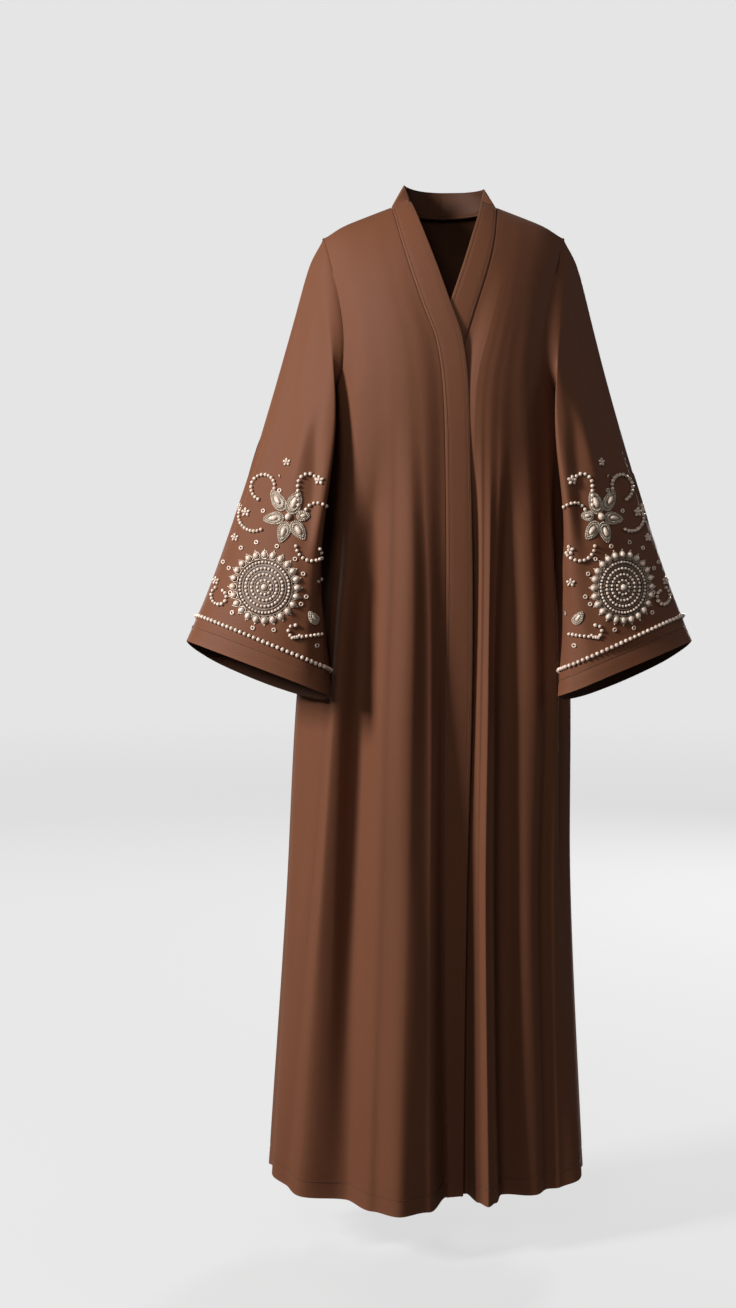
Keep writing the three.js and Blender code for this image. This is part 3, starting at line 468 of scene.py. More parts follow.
def crepeFinish(name, lift=1.0):
    finish, tree, shader = newFinish(name)
    link = tree.links.new
    tone = lambda c: tuple(v * lift for v in c)
    slow = node(tree, "ShaderNodeTexNoise", Scale=7.0, Detail=3.0, Roughness=0.55)
    link(scaledUv(tree, 1, 0.6), slow.inputs["Vector"])
    grain = node(tree, "ShaderNodeTexNoise", Scale=1.0, Detail=2.0, Roughness=0.6)
    link(scaledUv(tree, 620, 430), grain.inputs["Vector"])
    yarn = node(tree, "ShaderNodeTexNoise", Scale=1.0, Detail=2.0, Roughness=0.5)
    link(scaledUv(tree, 900, 26), yarn.inputs["Vector"])
    weft = node(tree, "ShaderNodeTexWave", Scale=1.0, Distortion=0.6)
    weft.bands_direction = "DIAGONAL"
    link(scaledUv(tree, 420, 420), weft.inputs["Vector"])
    base = mixColour(tree, slow.outputs["Fac"], tone(crepe["dark"]), tone(crepe["light"]))
    base = mixColour(tree, 0.35, base, mixColour(tree, grain.outputs["Fac"], tone(crepe["dark"]),
                                                 tone(crepe["light"])))
    base = mixColour(tree, 0.22, base, mixColour(tree, yarn.outputs["Fac"], tone(crepe["colour"]),
                                                 tone(crepe["worn"])))
    wear = node(tree, "ShaderNodeAttribute", attribute_name="wear")
    amount = node(tree, "ShaderNodeMath", operation="MULTIPLY")
    link(wear.outputs["Fac"], amount.inputs[0])
    amount.inputs[1].default_value = 0.3
    base = mixColour(tree, amount.outputs[0], base, tone(crepe["worn"]))
    # painted shade: the inner face of the cloth is painted much darker, where the inside of the garment lies
    # in shade
    inside = node(tree, "ShaderNodeAttribute", attribute_name="inside")
    base = mixColour(tree, inside.outputs["Fac"], base, crepe["paintedInsideShade"])
    link(base, shader.inputs["Base Color"])
    rough = node(tree, "ShaderNodeMapRange")
    rough.inputs["To Min"].default_value, rough.inputs["To Max"].default_value = crepe["roughness"]
    link(grain.outputs["Fac"], rough.inputs["Value"])
    link(rough.outputs["Result"], shader.inputs["Roughness"])
    height = node(tree, "ShaderNodeMath", operation="MULTIPLY_ADD")
    link(grain.outputs["Fac"], height.inputs[0])
    height.inputs[1].default_value = 0.7
    link(weft.outputs["Fac"], height.inputs[2])
    bump = node(tree, "ShaderNodeBump", Strength=0.35, Distance=0.00025)
    link(height.outputs[0], bump.inputs["Height"])
    link(bump.outputs["Normal"], shader.inputs["Normal"])
    shader.inputs["Specular IOR Level"].default_value = crepe["gloss"]
    shader.inputs["Sheen Weight"].default_value = crepe["sheen"]
    shader.inputs["Sheen Roughness"].default_value = crepe["sheenRoughness"]
    shader.inputs["Sheen Tint"].default_value = crepe["sheenTint"]
    return finish


def beadFinish(name, light, dark, roughness, coat, metal=0.0):
    finish, tree, shader = newFinish(name)
    link = tree.links.new
    place = node(tree, "ShaderNodeTexCoord")
    spots = node(tree, "ShaderNodeTexNoise", Scale=260.0, Detail=2.0)
    link(place.outputs["Object"], spots.inputs["Vector"])
    fine = node(tree, "ShaderNodeTexNoise", Scale=1900.0, Detail=3.0)
    link(place.outputs["Object"], fine.inputs["Vector"])
    ramp = node(tree, "ShaderNodeMapRange")
    ramp.inputs["From Min"].default_value = 0.32
    ramp.inputs["From Max"].default_value = 0.68
    link(spots.outputs["Fac"], ramp.inputs["Value"])
    link(mixColour(tree, ramp.outputs["Result"], dark, light), shader.inputs["Base Color"])
    bump = node(tree, "ShaderNodeBump", Strength=0.2, Distance=0.0002)
    link(fine.outputs["Fac"], bump.inputs["Height"])
    link(bump.outputs["Normal"], shader.inputs["Normal"])
    shader.inputs["Roughness"].default_value = roughness
    shader.inputs["Coat Weight"].default_value = coat
    shader.inputs["Coat Roughness"].default_value = 0.15
    shader.inputs["Metallic"].default_value = metal
    return finish


crepeCloth = crepeFinish("crepeCloth")
crepeBand = crepeFinish("crepeBand", 1.06)
sewingThread = beadFinish("sewingThread", (0.13, 0.055, 0.03), (0.08, 0.034, 0.019), 0.6, 0.0)
ivoryBead = beadFinish("ivoryBead", (0.78, 0.63, 0.52), (0.56, 0.42, 0.33), 0.34, 0.2)
greyBead = beadFinish("greyBead", (0.56, 0.47, 0.375), (0.34, 0.27, 0.2), 0.36, 0.2, 0.1)
cordThread = beadFinish("cordThread", (0.34, 0.25, 0.19), (0.2, 0.135, 0.095), 0.55, 0.0)
groundThread = beadFinish("groundThread", (0.115, 0.066, 0.043), (0.06, 0.032, 0.02), 0.6, 0.0)
print("finishes made")


# wall, dip at the seams, size and seed of the slow swell, in millimetres
backCloth = {
    "wall": 1.5, "seamDip": 0.2, "swell": 1.4, "seed": 31,
    # from, bend and to in x and level, then width and height
    "creases": [(-120, -60, -70, -110, -60, -190, 14, 2.2), (110, -55, 80, -120, 62, -210, 13, 2.0),
                (-30, -40, -20, -160, -34, -300, 18, 2.0), (40, -60, 28, -190, 36, -330, 16, -2.0),
                (-90, -420, -104, -640, -92, -900, 15, -2.8), (70, -520, 84, -760, 78, -1010, 15, 2.6),
                (10, -640, -6, -900, 8, -1180, 18, -2.6), (-140, -700, -150, -980, -160, -1240, 14, 2.4),
                (130, -700, 142, -950, 150, -1260, 14, -2.4), (-50, -980, -58, -1180, -50, -1380, 13, 2.4)],
}
frontRightCloth = {
    "wall": 1.5, "seamDip": 0.2, "swell": 1.1, "seed": 12,
    "creases": [(-150, -95, -128, -180, -120, -262, 12, -2.2), (-92, -290, -104, -420, -118, -560, 15, 2.4),
                (-138, -230, -150, -390, -160, -540, 12, -4.5), (-74, -290, -76, -400, -72, -540, 14, -2.2),
                (-52, -470, -60, -760, -58, -1060, 15, 1.8), (-150, -560, -158, -840, -170, -1150, 13, -3.0),
                (-104, -700, -98, -980, -104, -1260, 13, -2.0), (-34, -900, -38, -1130, -36, -1350, 11, 2.0),
                (-184, -800, -192, -1030, -204, -1290, 12, 2.2),
                (-106, -400, -126, -800, -140, -1420, 17, -8.5), (-70, -420, -84, -820, -92, -1420, 22, 4.5)],
}
frontLeftCloth = {
    "wall": 1.5, "seamDip": 0.2, "swell": 1.1, "seed": 45,
    "creases": [(150, -95, 130, -180, 122, -262, 12, -2.2), (88, -300, 96, -420, 100, -560, 13, 2.2),
                (132, -230, 146, -400, 152, -560, 12, -4.5), (60, -300, 66, -480, 64, -680, 12, -2.4),
                (110, -470, 116, -730, 118, -1010, 13, -2.2), (146, -600, 150, -850, 160, -1140, 13, 2.2),
                (50, -900, 52, -1100, 50, -1330, 10, -2.0), (80, -380, 88, -800, 92, -1430, 15, -8.0),
                (128, -420, 138, -820, 146, -1430, 14, -3.0), (108, -420, 112, -820, 118, -1430, 12, 3.0)],
}


shoulderTip = {"out": 174, "level": -38, "stretch": (1, 0.6, 0.8), "reach": 24, "drop": 5.5, "inward": 3.0}


def roundedShoulder(grid):
    # the tip of the shoulder is rounded where the sleeve is set in
    side = np.sign(grid[..., 0])
    flat = np.zeros(grid.shape[:2])
    tip = np.stack([side * shoulderTip["out"], flat, flat + shoulderTip["level"]], -1)
    away = np.linalg.norm((grid - tip) * shoulderTip["stretch"], axis=-1)
    near = np.exp(-(away / shoulderTip["reach"]) ** 2)
    grid = grid.copy()
    grid[..., 2] -= shoulderTip["drop"] * near
    grid[..., 0] -= side * shoulderTip["inward"] * near
    return grid


def dipEdges(grid, normal, edges, deep):
    # the cloth turns in a little where it is sewn
    if "first" in edges:
        grid[:, 0] -= normal[:, 0] * deep
        grid[:, 1] -= normal[:, 1] * deep * 0.35
    if "last" in edges:
        grid[:, -1] -= normal[:, -1] * deep
        grid[:, -2] -= normal[:, -2] * deep * 0.35
    if "top" in edges:
        grid[0] -= normal[0] * deep
        grid[1] -= normal[1] * deep * 0.35
    return grid


def axisOf(grid):
    centre = np.zeros_like(grid)
    centre[..., 0] = np.interp(-grid[..., 2], [276, 1400], [0, -20])
    centre[..., 2] = np.minimum(grid[..., 2], -90)
    return centre


# height of the turned-up edges, and the dip and half width of the line sewn along them
turnUps = {"hem": 24, "cuff": 22, "dip": 0.5, "hemSoft": 5, "cuffSoft": 4}


def finishedPanel(name, node, grid, style):
    centre = axisOf(grid)
    normal, _ = gridNormals(grid, centre)
    push = unevenPush(grid.shape[:2], style["seed"], style["swell"])
    push *= 0.15 + 0.85 * softStep((-150 - grid[..., 2]) / 350)
    c = np.linspace(0, 1, grid.shape[1])[None, :]
    r = np.linspace(0, 1, grid.shape[0])[:, None]
    held = np.clip(np.minimum(np.minimum(c, 1 - c) * 14, np.clip(r * 12, 0, 1)), 0, 1)
    push += creasePush(grid, style["creases"]) * held
    grid = roundedShoulder(grid + normal * push[..., None])
    normal, _ = gridNormals(grid, centre)
    grid = dipEdges(grid, normal, ("first", "last", "top"), style["seamDip"])
    # the hem is turned up and sewn
    down = lengthsOf(grid)[1]
    above = down[-1:] - down
    dip = turnUps["dip"] * np.exp(-((above - turnUps["hem"]) / turnUps["hemSoft"]) ** 2)
    grid -= normal * dip[..., None]
    obj = clothShell(name, grid, style["wall"], centre, wearEdges=("bottom",))
    obj.data.materials.append(crepeCloth)
    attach(obj, "root")
    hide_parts(node)
    return obj, grid


def nameIndex(folds, name):
    return column(folds, 0).index(name)


rightFolds, leftFolds, backFolds = cut["rightFolds"], cut["leftFolds"], cut["backFolds"]
rightChest = lambda place, rise: frontChest(rightFolds, cut["rightNeck"], -1, place, rise)
leftChest = lambda place, rise: frontChest(leftFolds, cut["leftNeck"], 1, place, rise)
backGrid = panel(backChest, backFolds, 0, len(backFolds) - 1, 12)
rightGrid = panel(rightChest, rightFolds, 0, nameIndex(rightFolds, "seam"), 14)
leftGrid = panel(leftChest, leftFolds, nameIndex(leftFolds, "seam"), len(leftFolds) - 1, 12)
backPiece, backGrid = finishedPanel("backCloth", "back", backGrid, backCloth)
rightPiece, rightGrid = finishedPanel("frontRightCloth", "front_right", rightGrid, frontRightCloth)
leftPiece, leftGrid = finishedPanel("frontLeftCloth", "front_left", leftGrid, frontLeftCloth)
print("back and fronts made")


bandCloth = {
    "wall": 2.2, "rise": 0.5, "neckRows": 34, "fold": 0.45, "under": 1.3, "allowance": 5.0,
    "across": [0, 0.025, 0.06, 0.10, 0.16, 0.26, 0.38, 0.5, 0.62, 0.74, 0.84, 0.90, 0.94, 0.975, 1],
}


def neckbandPoint(sign, neck, turn, width):
    a = np.radians(turn)
    seamX = sign * cut["neckHalfWidth"] * np.cos(a)
    seam = chestPoint(seamX, backNeckline(seamX), np.zeros(np.shape(turn)), True)
    peak = neck[0]
    level = peak[3] + (27 - peak[3]) * softStep(turn / 90)
    top = np.stack([peak[2] * np.cos(a), 58 * np.sin(a) ** 1.15, level], -1)
    return seam + (top - seam) * width[..., None]


def bandGrid(folds, neck, sign):
    seam, edge = nameIndex(folds, "seam"), nameIndex(folds, "edge")
    across = np.array(bandCloth["across"])
    turns = np.linspace(90, 0, bandCloth["neckRows"])[:-1]
    width, turn = np.meshgrid(across, turns)
    behind = neckbandPoint(sign, neck, turn, width)
    places = seam + (edge - seam) * across
    rises = np.sin(np.linspace(math.pi / 2, 0, panelGrid["chestRows"]))
    place, rise = np.meshgrid(places, rises)
    upper = frontChest(folds, neck, sign, place, rise)
    drops = np.linspace(0, 1, panelGrid["skirtRows"])[1:]
    place, drop = np.meshgrid(places, drops)
    grid = np.concatenate([behind, upper, skirt(folds, place, drop)])
    grid = smoothRows(grid, len(turns) + len(rises), 12, 30)
    return smoothRows(grid, len(turns), 7, 14)


def finishedBand(name, node, folds, neck, sign):
    grid = bandGrid(folds, neck, sign)
    centre = axisOf(grid)
    centre[..., 2] = np.minimum(grid[..., 2], 20)
    normal, _ = gridNormals(grid, centre)
    w = np.array(bandCloth["across"])[None, :]
    inner = 1 - np.exp(-(w / 0.05) ** 2) * 2.6 - np.exp(-((1 - w) / 0.035) ** 2) * 1.2
    stitch = np.exp(-((w - 0.10) / 0.025) ** 2) + np.exp(-((w - 0.90) / 0.025) ** 2)
    profile = bandCloth["rise"] * inner - bandCloth["fold"] * stitch
    grid = grid + normal * profile[..., None]
    # the seam allowance lies under the panel that the band is sewn to
    under = grid[:, 0] - normal[:, 0] * bandCloth["under"]
    away = grid[:, 0] - grid[:, 3]
    away /= np.linalg.norm(away, axis=-1, keepdims=True)
    grid[:, 0] = under
    grid = np.concatenate([(under + away * bandCloth["allowance"])[:, None], grid], axis=1)
    centre = np.concatenate([centre[:, :1], centre], axis=1)
    obj = clothShell(name, grid, bandCloth["wall"], centre, wearEdges=("last", "bottom"))
    obj.data.materials.append(crepeBand)
    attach(obj, "root")
    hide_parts(node)
    return obj, grid


bandRightPiece, bandRightGrid = finishedBand("bandRightCloth", "band_right", rightFolds, cut["rightNeck"], -1)
bandLeftPiece, bandLeftGrid = finishedBand("bandLeftCloth", "band_left", leftFolds, cut["leftNeck"], 1)
print("bands made")


sleeveCloth = {
    "wall": 1.5, "air": 6, "head": 11, "headReach": 0.05, "leftWidth": 0.93, "trimRise": 40,
    "halfRing": 64, "rows": 96, "cuffRows": 12, "swell": 0.9, "seed": 77, "leftInner": 8,
    "under": 1.6, "allowance": 6,
    # share of the length, line, x, y, z
    "guides": [
        (0, "outer", -172, 0, -39), (0.08, "outer", -189, -2, -84), (0.235, "outer", -213.5, -8, -172),
        (0.46, "outer", -250, -22, -299), (0.66, "outer", -287, -36, -415),
        (0.87, "outer", -329, -50, -535), (1, "outer", -360, -60, -607),
        (0, "inner", -172, 0, -276), (0.06, "inner", -178, -5, -298), (0.18, "inner", -185, -18, -348),
        (0.5, "inner", -179, -58, -478), (0.75, "inner", -166, -86, -579), (1, "inner", -156, -101, -681),
        (0, "front", -141, -75, -190), (0.25, "front", -156, -98, -300), (0.5, "front", -184, -115, -415),
        (0.75, "front", -219, -127, -527), (1, "front", -255, -136, -639),
        (0, "rear", -152, 62, -190), (0.25, "rear", -190, 42, -310), (0.5, "rear", -217, 14, -430),
        (0.75, "rear", -240, -12, -550), (1, "rear", -256, -32, -668)],
    # direction at the top and at the cuff, width, depth, from and to in shares of the length
    "folds": [(52, 30, 20, -5, 0.02, 0.75), (118, 96, 26, 5, 0.1, 0.9), (150, 140, 22, -5, 0.1, 1.1),
              (235, 250, 26, -6, 0.1, 0.95), (300, 305, 24, 5, 0.1, 1.1)],
    # as on the back and the fronts
    "creases": [(-176, -190, -182, -380, -204, -640, 13, -4.2),
                (-196, -150, -206, -250, -228, -350, 10, -2.2),
                (-176, -250, -196, -340, -214, -430, 9, 2.2), (-178, -300, -176, -390, -190, -480, 8, -2.4),
                (-240, -300, -262, -390, -292, -470, 10, 1.8), (-205, -210, -226, -310, -258, -400, 8, -1.6)],
}


def armholeRing():
    rises = np.sin(np.linspace(math.pi / 2, 0, sleeveCloth["halfRing"] + 1))
    sides = []
    for rear in (False, True):
        x = np.full(len(rises), -float(cut["shoulderHalfWidth"]))
        for step in range(12):
            z = cut["chestLevel"] + (shoulderLine(x) - cut["chestLevel"]) * rises
            x = -(cut["shoulderHalfWidth"] - armInset(z, rear))
        sides.append(chestPoint(x, z, np.zeros(len(rises)), rear))
    ring = np.concatenate([sides[0], sides[1][::-1][1:-1]])
    bottom = len(rises) - 1
    steps = np.linalg.norm(np.roll(ring, -1, axis=0) - ring, axis=1)
    reach = np.concatenate([[0], np.cumsum(steps)])
    turns = np.where(np.arange(len(ring)) <= bottom, 180 * reach[:-1] / reach[bottom],
                     180 + 180 * (reach[:-1] - reach[bottom]) / (reach[-1] - reach[bottom]))
    return ring, turns


def guide(line, share):
    rows = [g for g in sleeveCloth["guides"] if g[1] == line]
    return np.stack([smoothAlong(column(rows, 0), column(rows, k), share) for k in (2, 3, 4)], -1)


def sleeveAt(ring, turns, share):
    # share has one row for each line round the sleeve and one column for each ring point
    s = np.sin(np.radians(turns))[None, :, None]
    c = np.cos(np.radians(turns))[None, :, None]

    def shape(at):
        outer, inner = guide("outer", at), guide("inner", at)
        middle = (outer + inner) / 2
        flank = np.where(s >= 0, guide("front", at), guide("rear", at)) - middle
        return middle + (outer - middle) * c + flank * np.abs(s), middle

    point, middle = shape(share)
    start, _ = shape(np.zeros_like(share))
    point = point + (ring[None] - start) * (1 - softStep(share / 0.5))[..., None]
    outward = point - middle
    outward[..., 2] = 0
    outward /= np.maximum(np.linalg.norm(outward, axis=-1, keepdims=True), 1e-9)
    push = np.zeros(share.shape)
    for top, cuff, wide, out, start, end in sleeveCloth["folds"]:
        away = np.abs(turns[None] - (top + (cuff - top) * share)) / wide
        reach = np.clip((share - start) / (end - start), 0, 1)
        push += np.where(away < 1, out * softStep(1 - away) * np.sin(math.pi * reach), 0)
    near = share / sleeveCloth["headReach"]
    point[..., 0] -= sleeveCloth["head"] * np.abs(s[..., 0]) * near * np.exp(1 - near)
    return clearOfBody(point + outward * push[..., None], share)


def clearOfBody(p, share):
    levels = column(cut["body"], 0)
    at = np.minimum(cut["chestLevel"], p[..., 2])
    get = lambda k: smoothAlong(levels, column(cut["body"], k), at)
    dx, dy = p[..., 0] - get(1), p[..., 1] - get(2)
    q = cut["squareness"]
    depth = np.where(dy < 0, get(4), get(5))
    size = ((np.abs(dx) / get(3)) ** q + (np.abs(dy) / depth) ** q) ** (1 / q)
    least = 1 + sleeveCloth["air"] / get(3)
    move = (share >= 0.01) & (p[..., 2] <= cut["chestLevel"] + 8) & (size < least)
    scale = np.where(move, least / np.maximum(size, 1e-6), 1)
    out = p.copy()
    out[..., 0] = get(1) + dx * scale
    out[..., 1] = get(2) + dy * scale
    return out


def sleeveGrid():
    ring, turns = armholeRing()
    steps = np.array([0, 0.25, 0.5, 0.75, 1])[:, None] + np.zeros((1, len(turns)))
    lengths = np.linalg.norm(np.diff(sleeveAt(ring, turns, steps), axis=0), axis=-1).sum(axis=0)
    trimShare = 1 - sleeveCloth["trimRise"] / lengths
    upper = np.linspace(0.0004, 1, sleeveCloth["rows"])[:, None] * trimShare[None]
    low = np.linspace(0, 1, sleeveCloth["cuffRows"])[1:, None]
    share = np.concatenate([upper, trimShare[None] + low * (1 - trimShare[None])])
    grid = sleeveAt(ring, turns, share)
    for step in range(6):  # eases the cloth over the seam and the folds
        soft = grid.copy()
        soft[1:-1] = (grid[:-2] + grid[2:]) / 2
        grid[2:-1] = grid[2:-1] * 0.6 + soft[2:-1] * 0.4
    return grid


def leftX(x):
    over = np.maximum(0, -x - cut["shoulderHalfWidth"])
    return -x - (1 - sleeveCloth["leftWidth"]) * over * softStep(over / 60)


def finishedSleeve(name, node, sign):
    grid = sleeveGrid()
    centre = grid.mean(axis=1, keepdims=True)
    normal, _ = gridNormals(grid, centre, True)
    push = unevenPush(grid.shape[:2], sleeveCloth["seed"] + sign, sleeveCloth["swell"])
    r = np.linspace(0, 1, len(grid))[:, None]
    shift = 0 if sign < 0 else 6
    creases = [(a + shift, b - shift, c, d + shift, e - shift, f, g, h) for a, b, c, d, e, f, g, h
               in sleeveCloth["creases"]]
    facing = np.where(grid[..., 1] < centre[..., 1], 1, -0.8)  # the back's creases run the other way
    push += creasePush(grid, creases) * np.clip(r * 10, 0, 1) * facing
    grid = grid + normal * push[..., None]
    normal, _ = gridNormals(grid, centre, True)
    grid = dipEdges(grid, normal, ("top",), 0.15)
    # the cuff is turned up and sewn below the beads
    above = lengthsOf(grid, True)[1][:, :-1]
    above = above[-1:] - above
    dip = turnUps["dip"] * np.exp(-((above - turnUps["cuff"]) / turnUps["cuffSoft"]) ** 2)
    grid -= normal * dip[..., None]
    grid = roundedShoulder(grid)
    if sign > 0:
        grid[..., 0] = leftX(grid[..., 0])
        near = np.exp(-((grid[..., 2] + 505) / 75) ** 2) * softStep((215 - grid[..., 0]) / 45)
        grid[..., 0] -= sleeveCloth["leftInner"] * near
    # the seam allowance lies under the edge of the armhole
    centre = grid.mean(axis=1, keepdims=True)
    normal, _ = gridNormals(grid, centre, True)
    low = softStep((-48 - grid[0, :, 2:]) / 30)
    under = grid[0] - normal[0] * (0.4 + sleeveCloth["under"] * low)
    away = grid[0] - grid[2]
    away /= np.linalg.norm(away, axis=-1, keepdims=True)
    grid = np.concatenate([(under + away * (0.3 + sleeveCloth["allowance"] * low))[None], grid])
    centre = grid.mean(axis=1, keepdims=True)
    obj = clothShell(name, grid, sleeveCloth["wall"], centre, ring=True, wearEdges=("bottom",))
    obj.data.materials.append(crepeCloth)
    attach(obj, "root")
    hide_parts(node)
    return obj, grid


sleevePieces, sleeveGrids = {}, {}
for side, sign in (("Right", -1), ("Left", 1)):
    piece, grid = finishedSleeve("sleeve%sCloth" % side, "sleeve_" + side.lower(), sign)
    sleevePieces[side], sleeveGrids[side] = piece, grid
print("sleeves made")


def newTree(name, inputs):
    tree = bpy.data.node_groups.new(name, "GeometryNodeTree")
    face = tree.interface
    face.new_socket("Geometry", in_out="INPUT", socket_type="NodeSocketGeometry")
    ids = {}
    for label, kind, value in inputs:
        socket = face.new_socket(label, in_out="INPUT", socket_type=kind)
        if value is not None:
            socket.default_value = value
        ids[label] = socket.identifier
    face.new_socket("Geometry", in_out="OUTPUT", socket_type="NodeSocketGeometry")
    start = tree.nodes.new("NodeGroupInput")
    end = tree.nodes.new("NodeGroupOutput")
    return tree, ids, start, end


def closeTree(tree, start, end, geometry):
    link = tree.links.new
    real = tree.nodes.new("GeometryNodeRealizeInstances")
    shade = tree.nodes.new("GeometryNodeSetShadeSmooth")
    paint = tree.nodes.new("GeometryNodeSetMaterial")
    link(geometry, real.inputs[0])
    link(real.outputs[0], shade.inputs["Geometry"])
    link(shade.outputs[0], paint.inputs["Geometry"])
    link(start.outputs["Material"], paint.inputs["Material"])
    link(paint.outputs[0], end.inputs[0])


def makeBeadTree():
    # round beads strung along a path
    tree, ids, start, end = newTree("beadString", [
        ("Radius", "NodeSocketFloat", 0.0027), ("Pitch", "NodeSocketFloat", 0.006),
        ("Length", "NodeSocketFloat", 1.0), ("Uneven", "NodeSocketFloat", 0.08),
        ("Seed", "NodeSocketInt", 3), ("Material", "NodeSocketMaterial", None)])
    link = tree.links.new
    path = tree.nodes.new("GeometryNodeMeshToCurve")
    dots = tree.nodes.new("GeometryNodeCurveToPoints")
    dots.mode = "LENGTH"
    turn = tree.nodes.new("FunctionNodeAlignRotationToVector")
    turn.axis = "X"
    bead = tree.nodes.new("GeometryNodeMeshUVSphere")
    bead.inputs["Segments"].default_value = 10
    bead.inputs["Rings"].default_value = 6
    place = tree.nodes.new("GeometryNodeInstanceOnPoints")
    shape = tree.nodes.new("ShaderNodeCombineXYZ")
    dice = tree.nodes.new("FunctionNodeRandomValue")
    least = node(tree, "ShaderNodeMath", operation="SUBTRACT")
    most = node(tree, "ShaderNodeMath", operation="ADD")
    scale = node(tree, "ShaderNodeVectorMath", operation="SCALE")
    least.inputs[0].default_value = 1
    most.inputs[0].default_value = 1
    link(start.outputs["Geometry"], path.inputs[0])
    link(path.outputs[0], dots.inputs["Curve"])
    link(start.outputs["Pitch"], dots.inputs["Length"])
    link(dots.outputs["Tangent"], turn.inputs["Vector"])
    link(start.outputs["Radius"], bead.inputs["Radius"])
    link(start.outputs["Length"], shape.inputs[0])
    shape.inputs[1].default_value = 1
    shape.inputs[2].default_value = 1
    link(start.outputs["Uneven"], least.inputs[1])
    link(start.outputs["Uneven"], most.inputs[1])
    link(least.outputs[0], dice.inputs[2])
    link(most.outputs[0], dice.inputs[3])
    link(start.outputs["Seed"], dice.inputs["Seed"])
    link(shape.outputs[0], scale.inputs[0])
    link(dice.outputs[1], scale.inputs["Scale"])
    link(dots.outputs["Points"], place.inputs["Points"])
    link(bead.outputs["Mesh"], place.inputs["Instance"])
    link(turn.outputs[0], place.inputs["Rotation"])
    link(scale.outputs[0], place.inputs["Scale"])
    closeTree(tree, start, end, place.outputs[0])
    return tree, ids


def makeStoneTree():
    # oval stones on points that carry their own aim and size
    tree, ids, start, end = newTree("stoneSet", [
        ("Plumpness", "NodeSocketFloat", 1.0), ("Material", "NodeSocketMaterial", None)])
    link = tree.links.new
    aim = tree.nodes.new("GeometryNodeInputNamedAttribute")
    aim.data_type = "FLOAT_VECTOR"
    aim.inputs["Name"].default_value = "aim"
    size = tree.nodes.new("GeometryNodeInputNamedAttribute")
    size.data_type = "FLOAT_VECTOR"
    size.inputs["Name"].default_value = "size"
    turn = tree.nodes.new("FunctionNodeAlignRotationToVector")
    turn.axis = "X"
    scale = node(tree, "ShaderNodeVectorMath", operation="SCALE")
    bead = tree.nodes.new("GeometryNodeMeshUVSphere")
    bead.inputs["Segments"].default_value = 12
    bead.inputs["Rings"].default_value = 8
    bead.inputs["Radius"].default_value = 1.0
    place = tree.nodes.new("GeometryNodeInstanceOnPoints")
    link(start.outputs["Geometry"], place.inputs["Points"])
    link(aim.outputs[0], turn.inputs["Vector"])
    link(turn.outputs[0], place.inputs["Rotation"])
    link(size.outputs[0], scale.inputs[0])
    link(start.outputs["Plumpness"], scale.inputs["Scale"])
    link(scale.outputs[0], place.inputs["Scale"])
    link(bead.outputs["Mesh"], place.inputs["Instance"])
    closeTree(tree, start, end, place.outputs[0])
    return tree, ids


def makeStitchTree():
    # short stitches, or an unbroken cord where the gap is nothing, along a path
    tree, ids, start, end = newTree("stitchLine", [
        ("Radius", "NodeSocketFloat", 0.0004), ("Pitch", "NodeSocketFloat", 0.0035),
        ("Stitch", "NodeSocketFloat", 0.0024), ("Material", "NodeSocketMaterial", None)])
    link = tree.links.new
    path = tree.nodes.new("GeometryNodeMeshToCurve")
    dots = tree.nodes.new("GeometryNodeCurveToPoints")
    dots.mode = "LENGTH"
    turn = tree.nodes.new("FunctionNodeAlignRotationToVector")
    turn.axis = "Z"
    rod = tree.nodes.new("GeometryNodeMeshCylinder")
    rod.inputs["Vertices"].default_value = 5
    place = tree.nodes.new("GeometryNodeInstanceOnPoints")
    link(start.outputs["Geometry"], path.inputs[0])
    link(path.outputs[0], dots.inputs["Curve"])
    link(start.outputs["Pitch"], dots.inputs["Length"])
    link(dots.outputs["Tangent"], turn.inputs["Vector"])
    link(start.outputs["Radius"], rod.inputs["Radius"])
    link(start.outputs["Stitch"], rod.inputs["Depth"])
    link(dots.outputs["Points"], place.inputs["Points"])
    link(rod.outputs["Mesh"], place.inputs["Instance"])
    link(turn.outputs[0], place.inputs["Rotation"])
    closeTree(tree, start, end, place.outputs[0])
    return tree, ids


def makeCordTree():
    # thin round cord along a path
    tree, ids, start, end = newTree("cordLine", [
        ("Radius", "NodeSocketFloat", 0.0009), ("Material", "NodeSocketMaterial", None)])
    link = tree.links.new
    path = tree.nodes.new("GeometryNodeMeshToCurve")
    profile = tree.nodes.new("GeometryNodeCurvePrimitiveCircle")
    profile.inputs["Resolution"].default_value = 6
    sweep = tree.nodes.new("GeometryNodeCurveToMesh")
    sweep.inputs["Fill Caps"].default_value = True
    link(start.outputs["Geometry"], path.inputs[0])
    link(start.outputs["Radius"], profile.inputs["Radius"])
    link(path.outputs[0], sweep.inputs["Curve"])
    link(profile.outputs[0], sweep.inputs["Profile Curve"])
    closeTree(tree, start, end, sweep.outputs[0])
    return tree, ids


trees = {"bead": makeBeadTree(), "stone": makeStoneTree(), "stitch": makeStitchTree(), "cord": makeCordTree()}


def pathMesh(name, paths, closed):
    points, edges = [], []
    for path, loop in zip(paths, closed):
        if len(path) < 3:
            continue
        first = len(points)
        points += [tuple(p) for p in path]
        edges += [(first + k, first + k + 1) for k in range(len(path) - 1)]
        if loop:
            edges.append((len(points) - 1, first))
    mesh = bpy.data.meshes.new(name)
    mesh.from_pydata(points, edges, [])
    obj = bpy.data.objects.new(name, mesh)
    bpy.context.scene.collection.objects.link(obj)
    return obj


